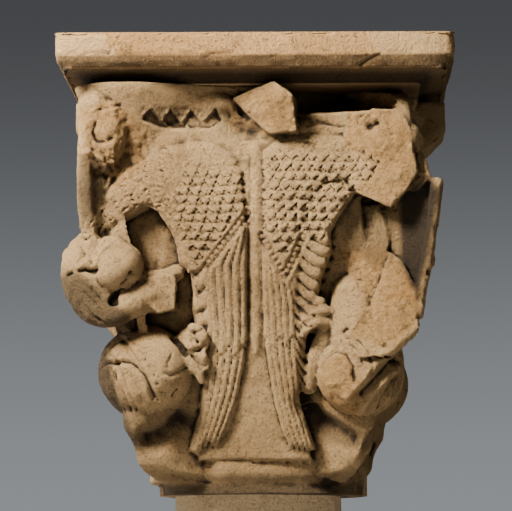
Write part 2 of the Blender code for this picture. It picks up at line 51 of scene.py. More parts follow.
stone = {
    "width": slabHigh[0] - slabLow[0],
    "height": capitalHigh[2] - capitalLow[2],
    "base": capitalLow[2],
    "top": capitalHigh[2],
    "neck": (shaftHigh[0] - shaftLow[0]) / 2 + 0.014,
    "grain": 0.0016,            # size of the union's cells
    "draftGrain": 0.0026,
    "softening": 2,
    "faces": 196000,
    "hiddenFaces": 82000,       # of those, kept for the sides and back
    "bedOverrun": 0.006,
}
front, right, back, left = 0, 90, 180, 270
frontLeft, frontRight, backRight, backLeft = -45, 45, 135, 225
asDrawn, mirrored = 1, -1

# Where the photograph was taken from, for the camera and for lines drawn on the front
view = {
    "distance": 2.9,
    "height": 0.022,
    "yaw": math.radians(1.26),
    "pitch": math.radians(6.0),
    "aside": -0.0023,
    "focal": 3093.0,            # in pixels of a 512 x 511 picture
    "middle": (256.0, 255.5),
}
view["place"] = Vector((view["distance"] * math.tan(view["yaw"]) + view["aside"], -view["distance"],
                        view["height"]))
view["ahead"] = Vector((-math.sin(view["yaw"]) * math.cos(view["pitch"]),
                        math.cos(view["yaw"]) * math.cos(view["pitch"]), math.sin(view["pitch"])))
view["across"] = Vector((math.cos(view["yaw"]), math.sin(view["yaw"]), 0))
view["upward"] = view["across"].cross(view["ahead"])
view["perPixel"] = view["distance"] / view["focal"] / stone["width"]


# Placing and laying stone. A row is across, up and out in shares, then its half sizes

def place(turn, across, up, out):
    sideways, forwards = across * stone["width"], out * stone["width"]
    angle = math.radians(turn)
    return Vector((sideways * math.cos(angle) + forwards * math.sin(angle),
                   sideways * math.sin(angle) - forwards * math.cos(angle),
                   stone["base"] + up * stone["height"]))


def addBall(bm, turn, row, detail=3):
    across, up, out = row[:3]
    sizes = row[3:] if len(row) == 6 else (row[3],) * 3
    grown = Matrix.Diagonal([size * stone["width"] for size in sizes] + [1.0])
    facing = Matrix.Rotation(math.radians(turn), 4, "Z")
    matrix = Matrix.Translation(place(turn, across, up, out)) @ facing @ grown
    bmesh.ops.create_icosphere(bm, subdivisions=detail, radius=1.0, matrix=matrix)


def extrudeRing(bm, edges):
    grown = bmesh.ops.extrude_edge_only(bm, edges=edges)["geom"]
    edges = [part for part in grown if isinstance(part, bmesh.types.BMEdge)]
    raised = [part for part in grown if isinstance(part, bmesh.types.BMVert)]
    return edges, raised


def appendPart(bm, part):
    if part.calc_volume(signed=True) < 0:
        bmesh.ops.reverse_faces(part, faces=part.faces[:])
    mesh = bpy.data.meshes.new("part")
    part.to_mesh(mesh)
    part.free()
    bm.from_mesh(mesh)
    bpy.data.meshes.remove(mesh)


def smoothWay(rows):
    # Stations close together on one curve through the given ones
    rows = np.array(rows, float)
    around = np.vstack((2 * rows[0] - rows[1], rows, 2 * rows[-1] - rows[-2]))
    found = []
    for before, start, end, after in zip(around, around[1:], around[2:], around[3:]):
        reach = np.linalg.norm((end - start)[:3])
        count = max(2, math.ceil(reach / (0.3 * min(start[3], end[3]))))
        for step in range(count):
            t = step / count
            bend = (2 * start + (end - before) * t
                    + (2 * before - 5 * start + 4 * end - after) * t ** 2
                    + (3 * start - before - 3 * end + after) * t ** 3)
            found.append(bend / 2)
    found.append(rows[-1])
    return found


def addRun(bm, turn, mirror, rows, shift=0.0):
    # A limb, lip or leaf is laid as balls close together, which the union makes one
    part = bmesh.new()
    for row in smoothWay(rows):
        row[0] = row[0] * mirror + shift
        addBall(part, turn, tuple(row), 3 if row[3] > 0.04 else 2)
    appendPart(bm, part)


def addRock(bm, turn, corners):
    part = bmesh.new()
    for corner in corners:
        part.verts.new(place(turn, *corner))
    made = bmesh.ops.convex_hull(part, input=part.verts)
    loose = [piece for piece in made["geom_interior"] if isinstance(piece, bmesh.types.BMVert)]
    bmesh.ops.delete(part, geom=loose, context="VERTS")
    appendPart(bm, part)


def addPlate(bm, turn, half, outline):
    addRock(bm, turn, [(side * half, up, out) for up, out in outline for side in (-1, 1)])


def finishObject(name, bm):
    mesh = bpy.data.meshes.new(name)
    bm.to_mesh(mesh)
    bm.free()
    thing = bpy.data.objects.new(name, mesh)
    bpy.context.scene.collection.objects.link(thing)
    return thing


def settleModifiers(thing):
    graph = bpy.context.evaluated_depsgraph_get()
    settled = bpy.data.meshes.new_from_object(thing.evaluated_get(graph))
    thing.modifiers.clear()
    old = thing.data
    thing.data = settled
    bpy.data.meshes.remove(old)


# The stone's own body. The bell's radius up its height, at a face's middle and at a corner
bell = {
    "heights": (0.0, 0.02, 0.045, 0.07, 0.11, 0.16, 0.22, 0.3, 0.4, 0.5, 0.68, 0.78, 0.85, 0.93, 1.0),
    "middle": (
        0.256, 0.256, 0.256, 0.256, 0.257, 0.258, 0.261, 0.265, 0.272, 0.28, 0.297, 0.312, 0.325, 0.35,
        0.375),
    "corner": (0.262, 0.3, 0.375, 0.408, 0.436, 0.462, 0.46, 0.4, 0.32, 0.32, 0.38, 0.51, 0.54, 0.56, 0.6),
    "squareness": (7.0, 8.0, 9.0, 14.0, 16.0, 12.0, 6.0, 4.0, 3.0, 3.0, 4.0, 6.0, 5.0, 3.0, 3.0),
    "sides": 160,
    "courses": 48,
}
# The spur under the beast on the right is more worn
wornSpur = {"between": (10, 80), "below": 0.25, "by": 0.045}
# Where the upper bed is lost: degrees from the front, height, and the radius it leaves
bedLoss = {"between": (12, 66), "fade": 6, "above": 0.93, "leaves": 0.285}


def bellRadius(degrees, up):
    middle = np.interp(up, bell["heights"], bell["middle"])
    corner = np.interp(up, bell["heights"], bell["corner"])
    start, end = wornSpur["between"]
    corner = corner - wornSpur["by"] * (start < degrees < end) * (up < wornSpur["below"])
    square = np.abs(np.sin(np.radians(2 * degrees))) ** np.interp(up, bell["heights"], bell["squareness"])
    share = middle + (corner - middle) * square - bell["middle"][0]
    return stone["neck"] + share * stone["width"]


def lossAt(degrees, up):
    start, end = bedLoss["between"]
    entering = np.clip((degrees - start) / bedLoss["fade"], 0, 1)
    lost = entering * np.clip((end - degrees) / bedLoss["fade"], 0, 1)
    return lost * np.clip((up - bedLoss["above"]) / 0.02, 0, 1)


def addBell(bm):
    overrun = stone["bedOverrun"]
    rise = (stone["height"] + 2 * overrun) / bell["courses"]
    foot = Matrix.Translation((0, 0, stone["base"] - overrun))
    ring = bmesh.ops.create_circle(bm, segments=bell["sides"], radius=1.0, cap_ends=False, matrix=foot)
    verts = list(ring["verts"])
    edges = list({edge for vert in verts for edge in vert.link_edges})
    for course in range(bell["courses"]):
        edges, raised = extrudeRing(bm, edges)
        bmesh.ops.translate(bm, verts=raised, vec=(0, 0, rise))
        verts += raised
    for vert in verts:
        degrees = math.degrees(math.atan2(vert.co.x, -vert.co.y))
        up = (vert.co.z - stone["base"]) / stone["height"]
        radius = float(bellRadius(degrees, up))
        radius += (bedLoss["leaves"] * stone["width"] - radius) * float(lossAt(degrees, up))
        vert.co.x *= radius
        vert.co.y *= radius
    rims = [edge for edge in bm.edges if edge.is_boundary]
    bmesh.ops.holes_fill(bm, edges=rims, sides=0)


# The ring at the foot, chipped flat here and there: degrees from the front, share left
astragal = {
    "overhang": 0.0095,
    "height": 0.027,
    "sides": 120,
    "chips": ((6, 0.925), (50, 0.975), (-36, 0.965), (98, 0.985), (150, 0.965), (205, 0.98), (262, 0.975)),
    "lossBetween": (-125, -20),
    "lossHeight": 0.011,
}


def addAstragal(bm):
    radius = stone["neck"] + astragal["overhang"]
    height = astragal["height"] + stone["bedOverrun"]
    middle = Matrix.Translation((0, 0, stone["base"] + (astragal["height"] - stone["bedOverrun"]) / 2))
    band = bmesh.ops.create_cone(bm, cap_ends=True, segments=astragal["sides"], radius1=radius,
                                 radius2=radius, depth=height, matrix=middle)
    start, end = astragal["lossBetween"]
    for vert in band["verts"]:
        degrees = math.degrees(math.atan2(vert.co.x, -vert.co.y))
        if vert.co.z < stone["base"] and start < degrees < end:
            vert.co.z += stone["bedOverrun"] + astragal["lossHeight"]
    for degrees, left in astragal["chips"]:
        angle = math.radians(degrees)
        way = Vector((math.sin(angle), -math.cos(angle), 0))
        for vert in band["verts"]:
            beyond = vert.co.dot(way) - radius * left
            if beyond > 0:
                vert.co -= way * beyond


# The beast's head at a corner, as pixels: where, how far out, and a half width
head = {
    "brow": ((108, 255, 0.444, 21), (116, 264, 0.454, 24)),
    "cheek": (
        (84, 251, 0.42, 18), (80, 266, 0.425, 20), (84, 284, 0.42, 22), (92, 300, 0.412, 21),
        (103, 310, 0.408, 16)),
    "jaw": (
        (96, 306, 0.412, 18), (112, 311, 0.42, 15), (128, 303, 0.42, 15), (144, 295, 0.41, 16),
        (160, 294, 0.395, 15)),
    "web": ((132, 281, 0.402, 12), (148, 281, 0.385, 12), (164, 278, 0.368, 10), (176, 272, 0.358, 8)),
    "jawEnd": (
        (148, 277, 0.392), (173, 274, 0.376), (177, 290, 0.38), (175, 310, 0.382), (158, 314, 0.398),
        (145, 300, 0.408), (148, 277, 0.3), (173, 274, 0.29), (175, 310, 0.29), (150, 312, 0.3)),
    "backReach": 0.89,
}
# The beast's body below a corner, seen along the corner
beast = {
    "body": (0.0, 0.3, 0.395, 0.128, 0.112, 0.118),
    "wornBody": (-0.015, 0.3, 0.388, 0.122, 0.1, 0.114),
    "back": (
        (-0.01, 0.32, 0.4, 0.1, 0.095, 0.1), (-0.02, 0.4, 0.4, 0.1, 0.08, 0.09),
        (-0.03, 0.48, 0.39, 0.07, 0.065, 0.07)),
}
# What stands between the birds, above them and at the corners
upper = {
    "volute": (-0.385, 0.865, 0.372, 0.05),
    "curl": (
        (0.0, 0.82, 0.555, 0.035, 0.045, 0.05), (0.0, 0.88, 0.56, 0.04, 0.045, 0.05),
        (0.0, 0.945, 0.558, 0.05, 0.05, 0.06)),
    "ridge": (
        (0.0, 0.44, 0.49, 0.034), (0.0, 0.56, 0.558, 0.026), (0.0, 0.68, 0.592, 0.022),
        (0.0, 0.8, 0.598, 0.022), (0.0, 0.9, 0.59, 0.024)),
    "web": (
        (0.4, 0.4, 0.47), (0.38, 0.56, 0.555), (0.36, 0.68, 0.59), (0.42, 0.8, 0.598), (0.45, 0.93, 0.59)),
    "webHalf": 0.015,
    "bossHalf": 0.105,
    "bossOutline": ((1.01, 0.25), (1.01, 1.0), (0.925, 1.0), (0.882, 0.91), (0.862, 0.6)),
    "bossReach": {right: 0.487, back: 0.49, left: 0.472},
}
# Broken stone, as the corners of its facets: pixel, and how far out
broken = {
    "boss": (
        (233, 98, 0.4), (252, 89, 0.425), (274, 81, 0.458), (293, 95, 0.456), (297, 131, 0.44),
        (270, 134, 0.428), (252, 118, 0.418), (242, 107, 0.404), (236, 100, 0.3), (274, 84, 0.3),
        (297, 100, 0.3), (297, 134, 0.3), (262, 134, 0.3)),
    "volute": (
        (345, 120, 0.4), (362, 113, 0.418), (376, 109, 0.43), (393, 109, 0.432), (404, 114, 0.428),
        (410, 128, 0.432), (413, 150, 0.436), (418, 172, 0.43), (401, 199, 0.424), (391, 208, 0.426),
        (357, 193, 0.41), (345, 160, 0.402), (345, 125, 0.3), (393, 112, 0.3), (410, 140, 0.33),
        (420, 175, 0.34), (391, 205, 0.34), (357, 190, 0.3)),
    "nook": (
        (412, 140, 0.4), (426, 158, 0.405), (431, 178, 0.412), (418, 192, 0.412), (404, 190, 0.405),
        (412, 145, 0.33), (430, 178, 0.33), (404, 190, 0.33)),
    "pillar": (
        (337, 254, 0.318), (345, 206, 0.318), (380, 205, 0.338), (389, 240, 0.352), (384, 284, 0.366),
        (371, 307, 0.366), (354, 281, 0.344), (345, 206, 0.23), (385, 205, 0.24), (384, 290, 0.24),
        (345, 270, 0.23)),
    "leafFace": (
        (378, 204, 0.322), (428, 180, 0.392), (441, 188, 0.402), (433, 235, 0.398), (424, 282, 0.392),
        (418, 314, 0.39), (384, 290, 0.322), (378, 205, 0.23), (432, 185, 0.3), (420, 300, 0.3),
        (384, 290, 0.23)),
    "shoulder": (
        (390, 252, 0.376), (404, 262, 0.388), (416, 288, 0.399), (419, 318, 0.402), (412, 338, 0.408),
        (392, 344, 0.412), (370, 340, 0.395), (370, 306, 0.374), (380, 280, 0.37), (390, 255, 0.28),
        (415, 290, 0.3), (412, 336, 0.3), (372, 330, 0.28)),
    "saddle": (
        (334, 329, 0.346), (352, 318, 0.362), (371, 306, 0.375), (400, 310, 0.395), (416, 330, 0.405),
        (400, 352, 0.414), (362, 358, 0.405), (338, 346, 0.37), (336, 330, 0.27), (412, 322, 0.3),
        (395, 352, 0.3), (345, 350, 0.27)),
}


# Flat relief. Outlines are pixels; its face stands this far out at each pixel row
panels = {
    "rows": (90, 118, 161, 194, 230, 263, 292, 337, 378, 415, 450, 460),
    "out": (0.402, 0.404, 0.4, 0.402, 0.396, 0.378, 0.36, 0.34, 0.321, 0.303, 0.286, 0.281),
    "thick": 0.14,
    "mitre": 0.02,
    "cell": 3.0,
    "middle": 256.7,
    "brokenAt": 125,
    "hiddenShift": 0.007,
    "leftBird": (
        (246, 213), (247, 250), (248, 290), (248, 330), (246, 360), (240, 391), (236, 409), (230, 427),
        (222, 440), (217, 447), (208, 444), (197, 455), (190, 450), (192, 440), (197, 422), (200, 411),
        (201, 399), (203, 385), (206, 370), (205, 350), (205, 330), (200, 300), (194, 275), (180, 263),
        (178, 252), (174, 235), (160, 212), (150, 206), (142, 207), (127, 216), (112, 228), (97, 240),
        (84, 247), (70, 246), (82, 229), (94, 212), (103, 196), (111, 184), (125, 170), (145, 155),
        (168, 145), (195, 140), (215, 143), (232, 152), (243, 170)),
    "leftField": (
        (84, 135), (90, 118), (103, 102), (118, 93), (140, 88), (218, 88), (232, 98), (240, 112),
        (246, 130), (246, 170), (200, 180), (160, 185), (130, 188), (111, 190), (106, 176), (92, 165),
        (84, 150)),
    "heart": (
        (225, 112), (262, 118), (285, 118), (300, 135), (275, 155), (262, 180), (248, 180), (244, 165),
        (230, 148)),
    "ground": (
        (236, 140), (276, 140), (276, 340), (285, 390), (305, 440), (312, 460), (198, 460), (205, 440),
        (225, 400), (236, 350)),
    "stem": ((250, 140), (262, 140), (262, 330), (260, 356), (252, 356), (250, 330)),
    "rightBird": (
        (262, 150), (263, 200), (262, 240), (262, 300), (264, 345), (268, 372), (274, 405), (283, 435),
        (289, 448), (304, 450), (315, 449), (311, 435), (306, 421), (301, 407), (299, 395), (300, 380),
        (303, 350), (303, 330), (300, 300), (301, 270), (301, 240), (306, 212), (316, 190), (330, 182),
        (345, 182), (356, 192), (392, 200), (399, 187), (404, 170), (402, 150), (385, 140), (360, 138),
        (335, 135), (310, 134), (290, 137), (272, 143)),
    "rightFringe": (
        (296, 235), (298, 205), (308, 185), (330, 178), (345, 180), (356, 192), (346, 207), (338, 218),
        (331, 232), (332, 250), (328, 264), (322, 278), (318, 295), (313, 312), (308, 330), (305, 350),
        (304, 375), (301, 388), (297, 380), (296, 330), (295, 290), (295, 262)),
    "leftGround": ((100, 195), (182, 195), (192, 300), (190, 340), (120, 345), (105, 290)),
    "rightGround": ((300, 190), (360, 190), (372, 300), (330, 338), (300, 330)),
    "leftFringe": (
        (190, 266), (202, 264), (209, 300), (210, 350), (209, 374), (199, 372), (195, 356), (192, 346),
        (196, 330), (192, 310), (193, 290)),
    "rightField": (
        (262, 122), (300, 119), (306, 117), (330, 125), (348, 121), (362, 115), (376, 111), (393, 111),
        (403, 116), (409, 128), (410, 142), (410, 170), (402, 187), (392, 200), (356, 194), (330, 185),
        (300, 190), (262, 175)),
}

# Round parts drawn in pixels: where, how far out, and a half width
rounds = {
    "left": (
        (
            (176, 392, 0.3, 9), (178, 370, 0.325, 10), (181, 352, 0.342, 11), (187, 338, 0.355, 11),
            (195, 333, 0.36, 8)),
        ((192, 327, 0.366, 5), (199, 330, 0.37, 5.5), (204, 339, 0.366, 5), (204, 346, 0.36, 4)),
        ((188, 346, 0.366, 6), (196, 350, 0.368, 6), (203, 357, 0.362, 5), (205, 366, 0.354, 4.5)),
        ((182, 357, 0.352, 7), (190, 364, 0.352, 7), (198, 372, 0.346, 5.5), (201, 380, 0.338, 4)),
    ),
    "right": (
        (
            (309, 386, 0.308, 8), (313, 366, 0.325, 8.5), (320, 346, 0.34, 9), (326, 331, 0.35, 9),
            (325, 318, 0.356, 8)),
        ((327, 311, 0.362, 6), (318, 311, 0.37, 5.5), (309, 316, 0.369, 4.5), (302, 322, 0.362, 3.5)),
        ((326, 323, 0.364, 6), (317, 322, 0.372, 5.5), (309, 327, 0.37, 4.5), (303, 334, 0.362, 3.5)),
        ((321, 301, 0.36, 5), (314, 306, 0.362, 4.5), (307, 312, 0.358, 4), (303, 316, 0.354, 3)),
    ),
    "neck": ((152, 186, 0.396, 18), (130, 197, 0.402, 17), (112, 211, 0.405, 14)),
    "lump": ((94, 112, 0.4, 14), (99, 126, 0.408, 18), (102, 143, 0.408, 17), (110, 160, 0.404, 11)),
    "leafLip": (
        (437, 183, 0.42, 7), (434, 215, 0.416, 6), (429, 250, 0.41, 6), (423, 285, 0.404, 6),
        (418, 314, 0.402, 6)),
    "strap": ((87, 148, 0.395, 6), (98, 157, 0.4, 6), (108, 170, 0.396, 6), (108, 184, 0.392, 6)),
}


def sharesAt(x, y, out):
    # Where the sight line through a pixel meets the plane that far out on the front
    focal, (middleX, middleY) = view["focal"], view["middle"]
    way = view["ahead"] + view["across"] * ((x - middleX) / focal) + view["upward"] * ((middleY - y) / focal)
    reach = (-out * stone["width"] - view["place"].y) / way.y
    spot = view["place"] + way * reach
    return spot.x / stone["width"], (spot.z - stone["base"]) / stone["height"]


def distanceTo(x, y, line):
    # Distance from points to a line of pixels, and how far along it the nearest place is
    line = np.array(line, float)
    lengths = np.hypot(*np.diff(line, axis=0).T)
    before = np.concatenate(([0.0], np.cumsum(lengths)))
    nearest = np.full(np.shape(x), 1e9)
    along = np.zeros(np.shape(x))
    side = np.zeros(np.shape(x))
    for (x0, y0), (x1, y1), length, walked in zip(line, line[1:], lengths, before):
        stepX, stepY = (x1 - x0) / length, (y1 - y0) / length
        t = np.clip((x - x0) * stepX + (y - y0) * stepY, 0, length)
        gap = np.hypot(x - x0 - t * stepX, y - y0 - t * stepY)
        closer = gap < nearest
        nearest = np.where(closer, gap, nearest)
        along = np.where(closer, walked + t, along)
        side = np.where(closer, np.sign((x - x0) * stepY - (y - y0) * stepX), side)
    return nearest, along, side


def insideOf(x, y, outline):
    inside = np.zeros(np.shape(x), bool)
    for (x0, y0), (x1, y1) in zip(outline, outline[1:] + outline[:1]):
        if y0 != y1:
            crosses = (y0 > y) != (y1 > y)
            inside ^= crosses & (x < (x1 - x0) * (y - y0) / (y1 - y0) + x0)
    return inside


def closed(outline):
    return tuple(outline) + tuple(outline[:1])


def addPanel(bm, turn, mirror, outline, lift=0.0, rounding=6.0, crown=0.0, mitre=panels["mitre"]):
    part = bmesh.new()
    face = part.faces.new([part.verts.new((x, y, 0)) for x, y in outline])
    bmesh.ops.triangulate(part, faces=[face])
    for halving in range(7):
        long = [edge for edge in part.edges if edge.calc_length() > panels["cell"]]
        if not long:
            break
        bmesh.ops.subdivide_edges(part, edges=long, cuts=1)
        bmesh.ops.triangulate(part, faces=part.faces[:])
    spots = np.array([vert.co[:2] for vert in part.verts])
    inward = distanceTo(spots[:, 0], spots[:, 1], closed(outline))[0]
    drop = rounding * (1 - np.sqrt(1 - (1 - np.clip(inward / rounding, 0, 1)) ** 2))
    rise = crown * (1 - np.exp(-inward / 12))
    out = np.interp(spots[:, 1], panels["rows"], panels["out"]) + lift + rise - drop * view["perPixel"]
    grown = bmesh.ops.extrude_face_region(part, geom=part.faces[:], use_keep_orig=True)["geom"]
    behind = [piece for piece in grown if isinstance(piece, bmesh.types.BMVert)]
    depths = {}
    for vert, depth in zip(part.verts, out):
        depths[tuple(vert.co[:2])] = depth
    hidden = set(behind)
    shift = 0.0 if turn == front else panels["hiddenShift"]
    for vert in part.verts:
        x, y = vert.co[:2]
        depth = depths[(x, y)]
        across, up = sharesAt(x, y, depth)
        across = (across - shift) * mirror
        if vert in hidden:      # the relief of two faces meets in a mitre at their corner
            depth = max(depth - panels["thick"], min(abs(across), depth) - mitre)
        vert.co = place(turn, across, up, depth)
    bmesh.ops.recalc_face_normals(part, faces=part.faces)
    appendPart(bm, part)


def addPixelRun(bm, turn, mirror, rows, reach=1.0):
    shift = 0.0 if turn == front else panels["hiddenShift"]
    shares = []
    for x, y, out, radius in rows:
        across, up = sharesAt(x, y, out)
        half = radius * view["perPixel"]
        shares.append(((across - shift) * reach, up, (out - half) * reach, half * reach))
    addRun(bm, turn, mirror, shares)


def addBird(bm, turn, mirror):
    lost = (turn, mirror) == (right, asDrawn)       # the neck, at the broken corner
    outline = [spot for spot in panels["leftBird"] if spot[0] >= panels["brokenAt"] or not lost]
    addPanel(bm, turn, mirror, outline, 0.0, 6.0, 0.008, 0.0)
    addPanel(bm, turn, mirror, panels["leftField"], -0.012, 9.0, 0.004)
    addPanel(bm, turn, mirror, panels["leftFringe"], -0.008, 5.0)
    if not lost:
        addPanel(bm, turn, mirror, panels["leftGround"], -0.05, 2.0)
        addPixelRun(bm, turn, mirror, rounds["neck"])
        addPixelRun(bm, turn, mirror, rounds["lump"])


def addMiddle(bm, turn):
    addPanel(bm, turn, asDrawn, panels["ground"], -0.01, 2.0)
    addPanel(bm, turn, asDrawn, panels["stem"], -0.003, 5.0)
    addPanel(bm, turn, asDrawn, panels["heart"], -0.014, 5.0)


def addHead(bm, turn, mirror, reach=1.0):
    for name in ("brow", "cheek", "jaw", "web"):
        addPixelRun(bm, turn, mirror, head[name], reach)
    corners = []
    for x, y, out in head["jawEnd"]:
        across, up = sharesAt(x, y, out)
        corners.append((across * mirror * reach, up, out * reach))
    addRock(bm, turn, corners)


def leafOutline(edge):
    return [(up, reach) for inner, up, outer in edge for reach in (inner, outer)]


def addPlainFace(bm, turn):
    for mirror in (asDrawn, mirrored):
        addBird(bm, turn, mirror)
        for rows in rounds["left"]:
            addPixelRun(bm, turn, mirror, rows)
        across, up, out, radius = upper["volute"]
        addBall(bm, turn, (across * mirror, up, out, radius))
    addMiddle(bm, turn)
    reach = upper["bossReach"][turn]
    addPlate(bm, turn, upper["bossHalf"], [(up, out * reach) for up, out in upper["bossOutline"]])


def addFront(bm):
    addBird(bm, front, asDrawn)
    addPanel(bm, front, asDrawn, panels["rightBird"], 0.0, 6.0, 0.008)
    addPanel(bm, front, asDrawn, panels["rightFringe"], -0.002, 7.0)
    addPanel(bm, front, asDrawn, panels["rightGround"], -0.045, 2.0)
    for corners in broken.values():
        addRock(bm, front, [(*sharesAt(x, y, out), out) for x, y, out in corners])
    addPanel(bm, front, asDrawn, panels["rightField"], -0.012, 9.0, 0.004)
    addMiddle(bm, front)
    for rows in rounds["left"] + rounds["right"] + (rounds["strap"], rounds["leafLip"]):
        addPixelRun(bm, front, asDrawn, rows)
    addBall(bm, front, upper["volute"])


def addCorners(bm):
    for corner in (frontLeft, backRight, backLeft):
        shown = corner == frontLeft
        addBall(bm, corner, beast["body" if shown else "wornBody"], 5)
        addRun(bm, corner, asDrawn, upper["ridge"])
        addPlate(bm, corner, upper["webHalf"], leafOutline(upper["web"]))
        addRun(bm, corner, asDrawn, upper["curl"])
    addBall(bm, frontRight, beast["wornBody"], 5)
    addRun(bm, frontRight, asDrawn, beast["back"])
    addHead(bm, front, asDrawn)
    addHead(bm, back, asDrawn, head["backReach"])
    addHead(bm, back, mirrored, head["backReach"])


def readPoints(mesh):
    flat = np.empty(len(mesh.vertices) * 3)
    mesh.vertices.foreach_get("co", flat)
    return flat.reshape(-1, 3)


def readNormals(mesh):
    flat = np.empty(len(mesh.vertices) * 3)
    mesh.vertex_normals.foreach_get("vector", flat)
    return flat.reshape(-1, 3)


def writePoints(mesh, points):
    mesh.vertices.foreach_set("co", points.ravel())
    mesh.update()


def writeMark(mesh, name, values):
    mark = mesh.attributes.new(name, "FLOAT", "POINT")
    mark.data.foreach_set("value", np.asarray(values, np.float32))


def ramp(value, start, end):
    t = np.clip((value - start) / (end - start), 0, 1)
    return t * t * (3 - 2 * t)


def smoothField(mesh, values, rounds):
    # A value, or a place, shared out among neighbours over and over
    ends = np.empty(len(mesh.edges) * 2, np.int64)
    mesh.edges.foreach_get("vertices", ends)
    first, second = ends.reshape(-1, 2).T
    count = len(mesh.vertices)
    shared = np.bincount(first, minlength=count) + np.bincount(second, minlength=count)
    columns = values.reshape(count, -1).astype(float)
    for step in range(rounds):
        for column in range(columns.shape[1]):
            held = columns[:, column]
            total = (np.bincount(first, held[second], count) + np.bincount(second, held[first], count))
            columns[:, column] = 0.5 * held + 0.5 * total / np.maximum(shared, 1)
    return columns.reshape(values.shape)


def hollowness(mesh, rounds):
    # How far a place lies below its neighbourhood, in metres; negative on a ridge
    points = readPoints(mesh)
    return np.einsum("ij,ij->i", smoothField(mesh, points, rounds) - points, readNormals(mesh))


def cutBeds(bm):
    for height, way in ((stone["base"], -1), (stone["top"], 1)):
        everything = bm.verts[:] + bm.edges[:] + bm.faces[:]
        cut = bmesh.ops.bisect_plane(bm, geom=everything, plane_co=(0, 0, height),
                                     plane_no=(0, 0, way), clear_outer=True)
        rim = [part for part in cut["geom_cut"] if isinstance(part, bmesh.types.BMEdge)]
        bmesh.ops.holes_fill(bm, edges=rim, sides=0)


def layBedsFlat(mesh):
    points = readPoints(mesh)
    for height in (stone["base"], stone["top"]):
        points[np.abs(points[:, 2] - height) < 0.0008, 2] = height
    writePoints(mesh, points)


